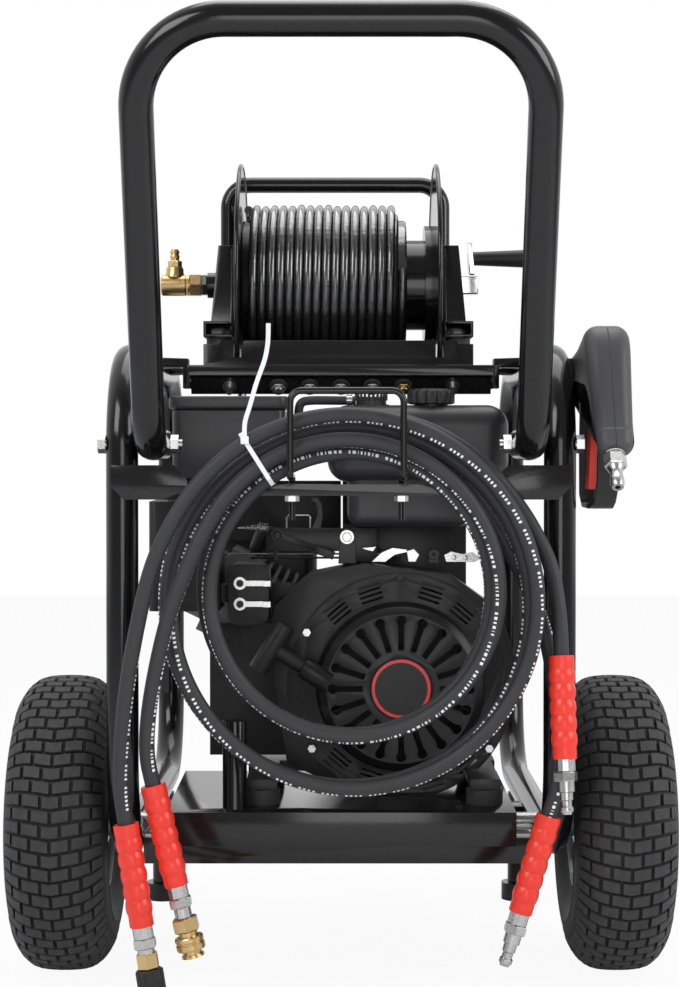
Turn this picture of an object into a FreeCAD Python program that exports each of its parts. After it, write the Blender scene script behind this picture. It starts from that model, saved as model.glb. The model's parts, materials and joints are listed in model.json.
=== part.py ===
import FreeCAD, Part
import math
import os
import Sketcher

os.makedirs("parts", exist_ok=True)
doc = FreeCAD.newDocument("drain_jetter")
vector = FreeCAD.Vector

# Driving dimensions in millimetres and degrees, each written once
DIMENSIONS = {
    # Frame of tube: two closed side loops, a handle and members between the loops
    "tube_diameter": 34.0, "tube_wall": 2.0, "loop_centre_x": 231.0, "loop_rear_y": -205.0,
    "loop_length": 640.0, "loop_bottom_z": 156.0, "loop_height": 527.0, "loop_bend": 100.0,
    "weld_gap": 0.2, "seat_gap": 0.3, "handle_gap": 0.5, "handle_elbow_z": 590.0,
    "handle_run_end": 70.0, "handle_elbow_back": 62.0, "handle_lean_back": 168.0,
    "handle_rise": 400.0, "handle_elbow_bend": 52.0, "handle_bend": 86.0,
    "bolt_diameter": 10.0, "bolt_clearance": 0.3, "nut_across": 17.0, "nut_height": 8.0,
    # Crossbar behind the engine, with the hose hook on it
    "ear_width": 80.0, "ear_height": 36.0, "ear_bottom_z": 532.0, "ear_chamfer": 14.0,
    "crossbar_plate": 5.0, "crossbar_height": 12.0, "crossbar_lift": 4.0, "crossbar_shelf": 32.0,
    "hook_rod": 7.0, "hook_width": 115.0, "hook_centre_x": 6.0, "hook_reach": 76.0,
    "hook_top": 644.0, "hook_bend": 12.0, "hook_low_bend": 7.0, "hook_tail": 26.0,
    # Tray, cross members and feet
    "tray_half_width": 186.0, "tray_length": 290.0, "tray_top_z": 200.0, "tray_depth": 36.0,
    "sheet": 3.0, "member_height": 28.0, "member_width": 40.0, "member_rear": 50.0,
    "member_front": 250.0, "post_diameter": 26.0, "post_height": 95.0, "post_x": -114.0,
    "foot_radius": 22.0, "foot_setback": 130.0, "foot_wall": 8.0,
    # Wheels
    "wheel_radius": 165.0, "wheel_centre_x": 307.0, "tyre_width": 112.0, "rim_radius": 78.0,
    "rim_width": 88.0, "rim_web": 4.0, "axle_diameter": 20.0, "axle_y": -57.0,
    "hub_radius": 24.0, "running_gap": 0.05, "washer_wall": 3.0, "tyre_wall": 9.0,
    "tread_depth": 5.0, "rim_fit": 0.1,
    # Engine
    "engine_x": 66.0, "crank_lift": 106.0, "mount_height": 16.0, "mount_radius": 20.0,
    "mount_left_x": -86.0, "mount_right_x": 156.0, "mount_rear_y": -143.0,
    "mount_spacing": 160.0, "recoil_face_y": -125.0, "recoil_radius": 126.0,
    "recoil_flange_y": -98.0, "dome_radius": 90.0, "cover_wall": 3.0, "shroud_radius": 140.0,
    "shroud_front_y": -20.0, "shroud_rear_y": -94.0, "case_length": 200.0,
    "case_half_width": 82.0, "cylinder_lean": 25.0, "cylinder_length": 196.0,
    "cylinder_width": 104.0, "head_length": 62.0, "shaft_diameter": 25.0, "shaft_reach": 26.0,
    "flywheel_radius": 108.0, "flywheel_gap": 8.0, "badge_radius": 34.0, "badge_depth": 2.5,
    "slot_count": 20.0, "slot_width": 11.0, "slot_inner": 42.0, "slot_outer": 75.0,
    "tank_width": 202.0, "tank_length": 245.0, "tank_height": 86.0, "tank_bottom_z": 548.0,
    "tank_left_x": -15.0, "tank_rear_y": -95.0, "tank_round": 24.0, "tank_sump": 50.0, "cap_radius": 27.0,
    "cap_height": 18.0, "neck_radius": 19.0, "neck_height": 9.0, "vent_hose": 9.0,
    "cleaner_width": 124.0, "cleaner_height": 91.0, "cleaner_length": 105.0,
    "cleaner_left_x": -186.0, "cleaner_bottom_z": 552.0, "cleaner_rear_y": -110.0,
    "canister_width": 78.0, "canister_height": 121.0, "canister_length": 115.0,
    "canister_left_x": -212.0, "canister_bottom_z": 406.0, "control_width": 46.0,
    "control_height": 68.0, "control_left_x": -126.0, "control_bottom_z": 389.0,
    "control_rear_y": -90.0, "lever_thickness": 3.0, "lever_pivot": 8.0,
    # Pump
    "pump_length": 110.0, "pump_width": 150.0, "pump_height": 120.0, "manifold_length": 52.0,
    "manifold_height": 96.0, "knob_radius": 19.0, "knob_height": 26.0,
    # Hose reel
    "reel_y": 75.0, "reel_z": 779.0, "flange_radius": 141.0, "flange_wall": 3.0,
    "flange_left_x": -119.0, "flange_right_x": 110.0, "drum_radius": 53.0,
    "collar_radius": 70.0, "collar_width": 12.0, "reel_hose": 10.0, "reel_pitch": 10.55,
    "reel_turns": 17.0, "winding_radius": 94.0, "winding_left": 1.5, "reel_shaft": 30.0,
    "stand_wall": 4.0, "stand_gap": 5.0, "stand_half": 70.0, "guard_tube": 19.0,
    "guard_z": 912.0, "guard_y": 190.0, "shelf_z": 680.0, "shelf_half_width": 174.0,
    "shelf_rear_y": -45.0, "shelf_length": 270.0, "shelf_lip": 12.0, "shelf_side": 26.0,
    "pad_height": 8.0, "pad_radius": 14.0, "block_half": 16.5, "block_height": 24.0, "rail_height": 18.0,
    "rail_wall": 3.0, "crank_reach": 58.0, "crank_lean": 52.0,
    "grip_length": 92.0, "grip_radius": 8.0, "crank_wall": 5.0,
    # Nozzle panel
    "panel_height": 24.0, "panel_tilt": 40.0, "nozzle_pitch": 35.5, "nozzle_radius": 7.0,
    "nozzle_length": 26.0, "grommet_radius": 10.0, "grommet_wall": 4.0,
    # Spray gun on the right loop
    "gun_x": 281.0, "gun_half_width": 24.0, "gun_body_z": 655.0,
    # Connector hoses hung on the hook
    "hose_diameter": 16.0, "coil_x": 10.0, "front_coil_z": 423.0, "rear_coil_z": 437.0,
    "front_radius": 186.0, "rear_radius": 146.0, "coil_flare": 18.0,
    "coil_start": 22.0, "coil_end": 870.0, "coil_pitch": 19.0, "tie_width": 5.0,
    "boot_length": 106.0, "boot_radius": 14.0,
}

sheet = doc.addObject("Spreadsheet::Sheet", "Sizes")
for row, (alias, number) in enumerate(DIMENSIONS.items(), start=1):
    sheet.set(f"A{row}", alias)
    sheet.set(f"B{row}", str(number))
    sheet.setAlias(f"B{row}", alias)
doc.recompute()


class Size:
    """A length that knows its number and the formula on the sheet that gives it."""

    def __init__(self, number, formula):
        self.number = float(number)
        self.formula = formula

    def __float__(self):
        return self.number

    def __add__(self, other):
        other = as_size(other)
        return Size(self.number + other.number, f"({self.formula} + {other.formula})")

    def __sub__(self, other):
        other = as_size(other)
        return Size(self.number - other.number, f"({self.formula} - {other.formula})")

    def __mul__(self, other):
        other = as_size(other)
        return Size(self.number * other.number, f"({self.formula} * {other.formula})")

    def __truediv__(self, other):
        other = as_size(other)
        return Size(self.number / other.number, f"({self.formula} / {other.formula})")

    def __neg__(self):
        return Size(-self.number, f"(0 - {self.formula})")

    def __radd__(self, other):
        return as_size(other) + self

    def __rsub__(self, other):
        return as_size(other) - self

    def __rmul__(self, other):
        return as_size(other) * self


def as_size(value):
    """Plain numbers join in formulas as they are."""
    if isinstance(value, Size):
        return value
    return Size(value, f"{float(value):.6f}")


def root(value):
    """Square root of a size."""
    return Size(math.sqrt(value.number), f"sqrt({value.formula})")


class Sheet:
    """Each alias of the sheet as an attribute."""

    def __getattr__(self, alias):
        return Size(getattr(sheet, alias), f"Sizes.{alias}")


d = Sheet()
AXES = {"X": (vector(0, 1, 0), 90), "Y": (vector(1, 0, 0), -90), "Z": (vector(0, 0, 1), 0)}
nodes = {}
counter = [0]


def new(kind, name):
    """Add an object with a name of its own."""
    counter[0] += 1
    return doc.addObject(kind, f"{name}_{counter[0]}")


def bind(thing, **sizes):
    """Tie properties to their formulas."""
    for name, value in sizes.items():
        thing.setExpression(name, as_size(value).formula)
    return thing


def place(thing, x, y, z, rotation=None):
    """Turn a piece, then tie its place to the sheet."""
    turn = rotation or FreeCAD.Rotation()
    spot = vector(float(x), float(y), float(z))
    thing.Placement = FreeCAD.Placement(spot, turn)
    for letter, value in zip("xyz", (x, y, z)):
        thing.setExpression(f"Placement.Base.{letter}", as_size(value).formula)
    return thing


def box(x, y, z, across, deep, high):
    """Block with its lowest corner at x, y, z."""
    block = bind(new("Part::Box", "block"), Length=across, Width=deep, Height=high)
    return place(block, x, y, z)


def span(x0, x1, y0, y1, z0, z1):
    """Block between two corners."""
    x0, y0, z0 = as_size(x0), as_size(y0), as_size(z0)
    return box(x0, y0, z0, x1 - x0, y1 - y0, z1 - z0)


def rod(axis, x, y, z, radius, length):
    """Round bar from x, y, z along an axis."""
    bar = bind(new("Part::Cylinder", "bar"), Radius=radius, Height=length)
    direction, angle = AXES[axis]
    return place(bar, x, y, z, FreeCAD.Rotation(direction, angle))


def taper(axis, x, y, z, first, last, length):
    """Round bar whose radius changes from first to last."""
    cone = bind(new("Part::Cone", "taper"), Radius1=first, Radius2=last, Height=length)
    direction, angle = AXES[axis]
    return place(cone, x, y, z, FreeCAD.Rotation(direction, angle))


def hexagon(axis, x, y, z, across, length):
    """Hexagonal bar of a width across its flats."""
    prism = new("Part::Prism", "hexagon")
    prism.Polygon = 6
    bind(prism, Circumradius=across / math.sqrt(3), Height=length)
    direction, angle = AXES[axis]
    return place(prism, x, y, z, FreeCAD.Rotation(direction, angle))


def tube_between(first, last, radius, name="bar"):
    """Round bar from one point to another."""
    ends = [[as_size(value) for value in end] for end in (first, last)]
    run = [b - a for a, b in zip(*ends)]
    length = root(run[0] * run[0] + run[1] * run[1] + run[2] * run[2])
    bar = bind(new("Part::Cylinder", name), Radius=radius, Height=length)
    turn = FreeCAD.Rotation(vector(0, 0, 1), vector(*[float(value) for value in run]))
    return place(bar, *ends[0], turn)


def fuse(*pieces):
    """Join pieces that are one piece on the bench."""
    if len(pieces) == 1:
        return pieces[0]
    joined = new("Part::MultiFuse", "joined")
    joined.Shapes = list(pieces)
    joined.Refine = True
    return joined


def cut(base, *tools):
    """Take tools away from a piece."""
    result = new("Part::Cut", "cut")
    result.Base = base
    result.Tool = fuse(*tools)
    result.Refine = True
    return result


def fillet(base, radius, chosen=None):
    """Round the edges that the test picks."""
    doc.recompute()
    result = new("Part::Fillet", "rounded")
    result.Base = base
    size = float(radius)
    picked = [(number, size, size) for number, edge in enumerate(base.Shape.Edges, start=1)
              if chosen is None or chosen(edge)]
    result.Edges = picked
    return result


def upright(edge):
    """Edges along Z."""
    ends = [vertex.Point for vertex in edge.Vertexes]
    return len(ends) == 2 and (ends[1] - ends[0]).cross(vector(0, 0, 1)).Length < 1e-6


def along_y(edge):
    """Edges along Y."""
    ends = [vertex.Point for vertex in edge.Vertexes]
    return len(ends) == 2 and (ends[1] - ends[0]).cross(vector(0, 1, 0)).Length < 1e-6


def group(*pieces):
    """Separate solids that share one node."""
    whole = new("Part::Compound", "group")
    whole.Links = list(pieces)
    return whole


def node(name, piece):
    """Give a finished piece its name."""
    piece.Label = name
    nodes[name] = piece
    return piece


def sketch_on(body, role, corners):
    """Closed outline of straight lines, each corner tied to the sheet; no corner is negative."""
    outline = body.newObject("Sketcher::SketchObject", "outline")
    plane = next(item for item in body.Origin.OriginFeatures if item.Role == role)
    outline.AttachmentSupport = [(plane, "")]
    outline.MapMode = "FlatFace"
    corners = [(as_size(across), as_size(up)) for across, up in corners]
    count = len(corners)
    spots = [vector(float(across), float(up), 0) for across, up in corners]
    for index in range(count):
        outline.addGeometry(Part.LineSegment(spots[index], spots[(index + 1) % count]))
    for index in range(count):
        outline.addConstraint(
            Sketcher.Constraint("Coincident", index, 2, (index + 1) % count, 1))
    for index, (across, up) in enumerate(corners):
        for kind, axis, value in (("DistanceX", -2, across), ("DistanceY", -1, up)):
            if abs(value.number) < 1e-9:
                outline.addConstraint(Sketcher.Constraint("PointOnObject", index, 1, axis))
                continue
            spot = outline.addConstraint(
                Sketcher.Constraint(kind, -1, 1, index, 1, value.number))
            outline.setExpression(f"Constraints[{spot}]", value.formula)
    return outline


def plate(corners, thickness, x, y, z, rotation=None, role="XY_Plane"):
    """Flat piece of a drawn outline."""
    body = new("PartDesign::Body", "plate")
    outline = sketch_on(body, role, corners)
    pad = body.newObject("PartDesign::Pad", "pad")
    pad.Profile = outline
    bind(pad, Length=thickness)
    return place(body, x, y, z, rotation)


def turned(corners, x, y, z, rotation=None):
    """Turned piece: the outline gives radius and height along its own Z axis."""
    body = new("PartDesign::Body", "turned")
    outline = sketch_on(body, "XZ_Plane", corners)
    turn = body.newObject("PartDesign::Revolution", "turn")
    turn.Profile = outline
    turn.ReferenceAxis = (outline, ["V_Axis"])
    turn.Angle = 360
    return place(body, x, y, z, rotation)


TO_X = FreeCAD.Rotation(vector(0, 1, 0), 90)
TO_MINUS_X = FreeCAD.Rotation(vector(0, 1, 0), -90)
TO_Y = FreeCAD.Rotation(vector(1, 0, 0), -90)
TO_MINUS_Y = FreeCAD.Rotation(vector(1, 0, 0), 90)
YZ_OUTLINE = FreeCAD.Rotation(vector(1, 1, 1), 120)
TURNED_BACK = FreeCAD.Rotation(vector(0, 0, 1), 180).multiply(TO_MINUS_Y)


def points_of(spots):
    """Plain vectors from sizes or numbers."""
    return [vector(*[float(value) for value in spot]) for spot in spots]


def bent_wire(points, bends):
    """Straight runs with tangent arcs of the given radii at the inner points."""
    edges = []
    start = points[0]
    for index in range(1, len(points) - 1):
        corner = points[index]
        before = (points[index - 1] - corner).normalize()
        after = (points[index + 1] - corner).normalize()
        half = before.getAngle(after) / 2
        setback = bends[index - 1] / math.tan(half)
        first = corner + before * setback
        last = corner + after * setback
        middle = (before + after).normalize()
        reach = bends[index - 1] / math.sin(half) - bends[index - 1]
        edges.append(Part.LineSegment(start, first).toShape())
        edges.append(Part.Arc(first, corner + middle * reach, last).toShape())
        start = last
    edges.append(Part.LineSegment(start, points[-1]).toShape())
    return Part.Wire(edges)


def sweep_round(wire, radius):
    """Round bar along a wire."""
    first = wire.OrderedEdges[0]
    spot = first.valueAt(first.FirstParameter)
    heading = first.tangentAt(first.FirstParameter)
    circle = Part.Wire([Part.Circle(spot, heading, radius).toShape()])
    solid = wire.makePipeShell([circle], True, False)
    return solid


def shaped(shape):
    """Hold a shape that was made from sheet values."""
    feature = new("Part::Feature", "shape")
    feature.Shape = shape
    return feature


def soft_bends(points):
    """Largest fair arc at each inner point: 0.45 of the shorter run over tan of half the turn."""
    radii = []
    for before, corner, after in zip(points, points[1:], points[2:]):
        turn = (corner - before).getAngle(after - corner)
        shorter = min((corner - before).Length, (after - corner).Length)
        radii.append(0.45 * shorter / math.tan(turn / 2))
    return radii


def free_tube(name, points, diameter):
    """Cord or hose along a chosen route; prints its bends and length."""
    radii = soft_bends(points)
    wire = bent_wire(points, radii)
    solid = sweep_round(wire, diameter / 2)
    expected = math.pi * diameter ** 2 / 4 * wire.Length
    print(name, "length", round(wire.Length, 1), "least bend", round(min(radii), 1),
          "volume ratio", round(solid.Volume / expected, 4))
    return solid


def arc_from(start, heading, end):
    """Arc that leaves start along heading and ends at end."""
    chord = end - start
    side = chord - heading * chord.dot(heading)
    if side.Length < 1e-7:
        return Part.LineSegment(start, end).toShape()
    side.normalize()
    radius = chord.Length ** 2 / (2 * chord.dot(side))
    centre = start + side * radius
    middle = (start + end) * 0.5 - centre
    middle.normalize()
    if chord.dot(heading) < 0:
        middle = middle * -1
    return Part.Arc(start, centre + middle * radius, end).toShape()


def biarc(start, first_heading, end, last_heading):
    """Two arcs that join smoothly between two points with given headings."""
    gap = end - start
    total = first_heading + last_heading
    a = 2 * (1 - first_heading.dot(last_heading))
    b = 2 * gap.dot(total)
    c = -gap.dot(gap)
    if abs(a) < 1e-9:
        reach = -c / b
    else:
        reach = (-b + math.sqrt(b * b - 4 * a * c)) / (2 * a)
    middle = (start + first_heading * reach + end - last_heading * reach) * 0.5
    first = arc_from(start, first_heading, middle)
    back = arc_from(end, last_heading * -1, middle)
    second = Part.Arc(middle, back.valueAt((back.FirstParameter + back.LastParameter) / 2), end)
    return [first, second.toShape()]


def wound_wire(curve, first, last, step, straight):
    """Biarcs through a curve of angle, with a straight end on each side."""
    def heading(angle):
        delta = 1e-4
        return (curve(angle + delta) - curve(angle - delta)).normalize()
    count = max(1, round((last - first) / step))
    angles = [first + (last - first) * index / count for index in range(count + 1)]
    start, end = curve(angles[0]), curve(angles[-1])
    edges = [Part.LineSegment(start - heading(angles[0]) * straight, start).toShape()]
    for one, two in zip(angles, angles[1:]):
        edges += biarc(curve(one), heading(one), curve(two), heading(two))
    edges.append(Part.LineSegment(end, end + heading(angles[-1]) * straight).toShape())
    return Part.Wire(edges)


def least_gap(name, curve, first, last, diameter):
    """Print the least gap of a wound tube to itself, from points on neighbouring turns."""
    step = math.radians(4)
    turn = 2 * math.pi
    least = 1e9
    count = int((last - first) / step)
    spots = [curve(first + index * step) for index in range(count + 1)]
    a_turn = round(turn / step)
    for one, spot in enumerate(spots):
        for lap in (1, 2):
            for other in range(one + a_turn * lap - 12, one + a_turn * lap + 12):
                if other < len(spots):
                    least = min(least, spot.distanceToPoint(spots[other]))
    print(name, "least gap to itself", round(least - diameter, 2))


# Places worked out from the driving dimensions
tube_radius = d.tube_diameter / 2
loop_inner_x = d.loop_centre_x - tube_radius
loop_outer_x = d.loop_centre_x + tube_radius
loop_front_y = d.loop_rear_y + d.loop_length
loop_top_z = d.loop_bottom_z + d.loop_height
rear_face_y = d.loop_rear_y - tube_radius - d.weld_gap
handle_x = loop_inner_x - d.handle_gap - tube_radius
handle_elbow_y = d.loop_rear_y - d.handle_elbow_back
handle_top_y = handle_elbow_y - d.handle_lean_back
handle_top_z = d.handle_elbow_z + d.handle_rise
mount_top_z = d.tray_top_z + d.mount_height
crank_z = mount_top_z + d.crank_lift
case_front_y = d.shroud_front_y + d.case_length
tray_rear_y = d.loop_rear_y


# Side loops
def loop_bar(side, radius):
    """Closed rounded rectangle of bar in a plane of constant X."""
    x = d.loop_centre_x * side
    low, high = d.loop_bottom_z, loop_top_z
    rear, front = d.loop_rear_y, loop_front_y
    bend = d.loop_bend
    runs = [
        rod("Y", x, rear + bend, low, radius, d.loop_length - 2 * bend),
        rod("Y", x, rear + bend, high, radius, d.loop_length - 2 * bend),
        rod("Z", x, rear, low + bend, radius, d.loop_height - 2 * bend),
        rod("Z", x, front, low + bend, radius, d.loop_height - 2 * bend),
    ]
    corners = ((rear + bend, low + bend, 180), (front - bend, low + bend, 270),
               (front - bend, high - bend, 0), (rear + bend, high - bend, 90))
    for y, z, start in corners:
        elbow = bind(new("Part::Torus", "elbow"), Radius1=bend, Radius2=radius)
        elbow.Angle3 = 90
        turn = FreeCAD.Rotation(vector(1, 0, 0), start).multiply(YZ_OUTLINE)
        runs.append(place(elbow, x, y, z, turn))
    return fuse(*runs)


axle_z = d.wheel_radius
axle_hole = d.axle_diameter / 2 + d.seat_gap
bolt_hole = d.bolt_diameter / 2 + d.bolt_clearance
gun_left = d.gun_x - d.gun_half_width
hanger_y = d.loop_rear_y + d.loop_bend + 6
gun_hanger = fuse(
    span(d.loop_centre_x + 10, gun_left - 1, hanger_y, hanger_y + 50, loop_top_z - 4, loop_top_z + 2),
    span(gun_left - 4, gun_left - 1, hanger_y, hanger_y + 50, loop_top_z - 50, loop_top_z + 2))
for name, side in (("left_side_loop", -1), ("right_side_loop", 1)):
    hollow = loop_bar(side, tube_radius - d.tube_wall)
    across = d.loop_centre_x * side - d.tube_diameter
    through = rod("X", across, d.axle_y, axle_z, axle_hole, d.tube_diameter * 2)
    bolted = rod("X", across, d.loop_rear_y, d.handle_elbow_z, bolt_hole, d.tube_diameter * 2)
    outside = loop_bar(side, tube_radius)
    if side > 0:
        outside = fuse(outside, gun_hanger)
    node(name, cut(outside, hollow, through, bolted))

# Handle: a tube bent in two planes
handle_route = points_of([
    (-handle_x, d.loop_rear_y + d.handle_run_end, d.handle_elbow_z),
    (-handle_x, handle_elbow_y, d.handle_elbow_z), (-handle_x, handle_top_y, handle_top_z),
    (handle_x, handle_top_y, handle_top_z), (handle_x, handle_elbow_y, d.handle_elbow_z),
    (handle_x, d.loop_rear_y + d.handle_run_end, d.handle_elbow_z)])
elbow_bend, corner_bend = float(d.handle_elbow_bend), float(d.handle_bend)
handle_wire = bent_wire(handle_route, [elbow_bend, corner_bend, corner_bend, elbow_bend])
outer = sweep_round(handle_wire, float(tube_radius))
inner = sweep_round(handle_wire, float(tube_radius - d.tube_wall))
handle_holes = [rod("X", handle_x * side - tube_radius * 1.5, d.loop_rear_y, d.handle_elbow_z,
                    bolt_hole, tube_radius * 3) for side in (-1, 1)]
node("handle_bar", cut(shaped(outer.cut(inner)), *handle_holes))

# Handle bolts: head outside the loop, nut inside the handle
fasteners = []
for side in (-1, 1):
    head_x = loop_outer_x + d.weld_gap
    nut_x = handle_x - tube_radius - d.weld_gap - d.nut_height
    bolt_length = head_x - nut_x + 4
    start = nut_x - 4 if side > 0 else -head_x
    shank = rod("X", start, d.loop_rear_y, d.handle_elbow_z, d.bolt_diameter / 2, bolt_length)
    head_start = head_x if side > 0 else -head_x - d.nut_height
    nut_start = nut_x if side > 0 else -nut_x - d.nut_height
    head = hexagon("X", head_start, d.loop_rear_y, d.handle_elbow_z, d.nut_across, d.nut_height)
    nut = hexagon("X", nut_start, d.loop_rear_y, d.handle_elbow_z, d.nut_across, d.nut_height)
    fasteners.append(fuse(shank, head, nut))

# Crossbar with an ear welded to each loop
bar_bottom = d.ear_bottom_z + d.crossbar_lift
ear_outer = loop_outer_x - 7
ear_inner = ear_outer - d.ear_width
bar_face = rear_face_y - d.crossbar_plate
ears = []
for side in (-1, 1):
    ear_left = ear_inner if side > 0 else -ear_outer
    c, w, h = d.ear_chamfer, d.ear_width, d.ear_height
    if side > 0:
        outline = [(0, 0), (w - c, 0), (w, c), (w, h), (c, h), (0, h - c)]
    else:
        outline = [(c, 0), (w, 0), (w, h - c), (w - c, h), (0, h), (0, c)]
    flat = FreeCAD.Rotation(vector(1, 0, 0), 90)
    ears.append(plate(outline, d.crossbar_plate, ear_left, rear_face_y, d.ear_bottom_z, flat))
web = span(-ear_inner, ear_inner, bar_face, rear_face_y, bar_bottom, bar_bottom + d.crossbar_height)
hook_plate = span(-handle_x, handle_x, bar_face, bar_face + d.crossbar_shelf, bar_bottom,
                  bar_bottom + d.crossbar_plate)
hook_y = bar_face + d.crossbar_shelf - 12
hook_hole = d.hook_rod / 2 + d.bolt_clearance
hook_holes = [rod("Z", d.hook_centre_x + side * d.hook_width / 2, hook_y, bar_bottom - 1,
                  hook_hole, 10) for side in (-1, 1)]
node("upper_crossbar", cut(fuse(web, hook_plate, *ears), *hook_holes))

# Hose hook: its rods carry the inside of the rear coil
rear_inside = d.rear_radius - d.hose_diameter / 2 - d.hook_rod / 2 - d.seat_gap
hook_left_x = d.hook_centre_x - d.hook_width / 2
hook_right_x = d.hook_centre_x + d.hook_width / 2
coil_offset = d.coil_x - hook_left_x
hook_z = d.rear_coil_z + root(rear_inside * rear_inside - coil_offset * coil_offset)
hook_front_y = hook_y - d.hook_reach - 14
low = bar_bottom - d.hook_tail
hook_route = points_of([
    (hook_left_x, hook_y, low), (hook_left_x, hook_y, hook_z), (hook_left_x, hook_front_y, hook_z),
    (hook_left_x, hook_front_y, d.hook_top), (hook_right_x, hook_front_y, d.hook_top),
    (hook_right_x, hook_front_y, hook_z), (hook_right_x, hook_y, hook_z),
    (hook_right_x, hook_y, low)])
low_bend, top_bend = float(d.hook_low_bend), float(d.hook_bend)
hook_wire = bent_wire(hook_route, [low_bend, low_bend, top_bend, top_bend, low_bend, low_bend])
node("hose_hook", shaped(sweep_round(hook_wire, float(d.hook_rod / 2))))
nut_bore = d.hook_rod / 2 + d.running_gap
for x in (hook_left_x, hook_right_x):
    for z in (bar_bottom - d.weld_gap - 6, bar_bottom + d.crossbar_plate + d.weld_gap):
        nut = cut(hexagon("Z", x, hook_y, z, 13, 6), rod("Z", x, hook_y, z - 1, nut_bore, 8))
        fasteners.append(nut)

# Tray: a folded sheet, open below, with a round post welded on it
tray_front_y = tray_rear_y + d.tray_length
tray_low_z = d.tray_top_z - d.tray_depth
half = d.tray_half_width
shell = span(-half, half, tray_rear_y, tray_front_y, tray_low_z, d.tray_top_z)
under = span(-half + d.sheet, half - d.sheet, tray_rear_y + d.sheet, tray_front_y - d.sheet,
             tray_low_z - 1, d.tray_top_z - d.sheet)
notch = rod("X", -half - 1, d.axle_y, axle_z, d.axle_diameter / 2 + 3, half * 2 + 2)
post = rod("Z", d.post_x, tray_rear_y + 30, d.tray_top_z - 1, d.post_diameter / 2, d.post_height)
tray = fuse(cut(shell, under, notch), post)

# Cross members between the loops, with end plates up to the tubes
members = []
member_top = tray_low_z
for offset in (d.member_rear, d.member_front):
    y = tray_rear_y + offset
    end_x = loop_inner_x - d.weld_gap
    member = span(-end_x, end_x, y, y + d.member_width, member_top - d.member_height, member_top)
    hollow = span(-end_x + d.sheet, end_x - d.sheet, y + d.sheet, y + d.member_width - d.sheet,
                  member_top - d.member_height + d.sheet, member_top - d.sheet)
    members.append(cut(member, hollow))
node("base_tray", fuse(tray, *members))

# Front feet under the loops
feet = []
foot_y = loop_front_y - d.foot_setback
foot_top = d.loop_bottom_z - tube_radius - d.weld_gap
for side in (-1, 1):
    x = d.loop_centre_x * side
    pad = rod("Z", x, foot_y, 0, d.foot_radius, 22)
    leg = rod("Z", x, foot_y, 20, d.foot_radius - d.foot_wall, foot_top - 20)
    feet.append(fuse(pad, leg))
node("front_feet", group(*feet))

# Axle, spacers and wheels
axle_half = d.wheel_centre_x + d.rim_width / 2 + 24
node("axle", rod("X", -axle_half, d.axle_y, axle_z, d.axle_diameter / 2, axle_half * 2))
hub_half = d.rim_width / 2
hub_inner_x = d.wheel_centre_x - hub_half
hub_outer_x = d.wheel_centre_x + hub_half
for side in (-1, 1):
    for near, far in ((loop_outer_x + d.weld_gap, hub_inner_x - d.weld_gap),
                      (hub_outer_x + d.weld_gap, hub_outer_x + d.weld_gap + 6)):
        start = near if side > 0 else -far
        ring = rod("X", start, d.axle_y, axle_z, d.axle_diameter / 2 + d.washer_wall + 4, far - near)
        bore = rod("X", start - 1, d.axle_y, axle_z, d.axle_diameter / 2 + d.running_gap, far - near + 2)
        fasteners.append(cut(ring, bore))
pin_x = hub_outer_x + 12
for side in (-1, 1):
    hole_pin = rod("Z", pin_x * side, d.axle_y - d.axle_diameter / 2 - 2, axle_z - 16, 1.9, 32)
    loop_ring = bind(new("Part::Torus", "pin_head"), Radius1=5, Radius2=1.9)
    place(loop_ring, pin_x * side, d.axle_y - d.axle_diameter / 2 - 2, axle_z + 20,
          FreeCAD.Rotation(vector(1, 0, 0), 90))
    fasteners.append(fuse(hole_pin, loop_ring))

bead = d.rim_radius
for name, side in (("left", -1), ("right", 1)):
    turn = TO_X if side > 0 else TO_MINUS_X
    w = d.tyre_width
    rw = d.rim_width / 2
    top = d.wheel_radius
    seat = bead + d.rim_fit
    # Tyre section: beads on the rim, bulged sides, flat tread; the height runs across the wheel
    tyre = turned([
        (seat, w / 2 - rw + 4), (seat + 10, w / 2 - rw + 2), (seat + 22, 3), (seat + 42, 0),
        (top - 26, 3), (top - 14, 12), (top - d.tread_depth * 0.3, 24), (top, w / 2),
        (top - d.tread_depth * 0.3, w - 24), (top - 14, w - 12), (top - 26, w - 3),
        (seat + 42, w), (seat + 22, w - 3), (seat + 10, w / 2 + rw - 2),
        (seat, w / 2 + rw - 4), (seat, w / 2 + rw - 18), (seat + 14, w / 2 + rw - 22),
        (seat + 24, w - d.tyre_wall - 4), (top - 26, w - d.tyre_wall - 4),
        (top - d.tyre_wall - 8, w - 26), (top - d.tyre_wall - 8, 26),
        (top - 26, d.tyre_wall + 4), (seat + 24, d.tyre_wall + 4),
        (seat + 14, w / 2 - rw + 22), (seat, w / 2 - rw + 18)],
        (d.wheel_centre_x - w / 2) * side, d.axle_y, axle_z, turn)
    node(f"{name}_tyre", tyre)
    bore = d.axle_diameter / 2 + d.running_gap
    full = d.rim_width
    disc = full / 2 + 8
    rim = turned([
        (bore, 0), (d.hub_radius, 0), (d.hub_radius, disc - d.rim_web), (bead - 14, disc - d.rim_web),
        (bead - 14, 20), (bead - 4, 3.5), (bead - 4, 0), (bead, 0), (bead, full),
        (bead - 4, full), (bead - 4, full - 3.5), (bead - 12, full - 14), (bead - 12, disc),
        (d.hub_radius, disc), (d.hub_radius, full), (bore, full)],
        hub_inner_x * side, d.axle_y, axle_z, turn)
    node(f"{name}_rim", rim)

# Engine mounts on the tray
mounts = []
mount_xs = (d.mount_left_x, d.mount_right_x)
mount_ys = (d.mount_rear_y, d.mount_rear_y + d.mount_spacing)
for x in mount_xs:
    for y in mount_ys:
        mounts.append(rod("Z", x, y, d.tray_top_z, d.mount_radius, d.mount_height))

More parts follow.
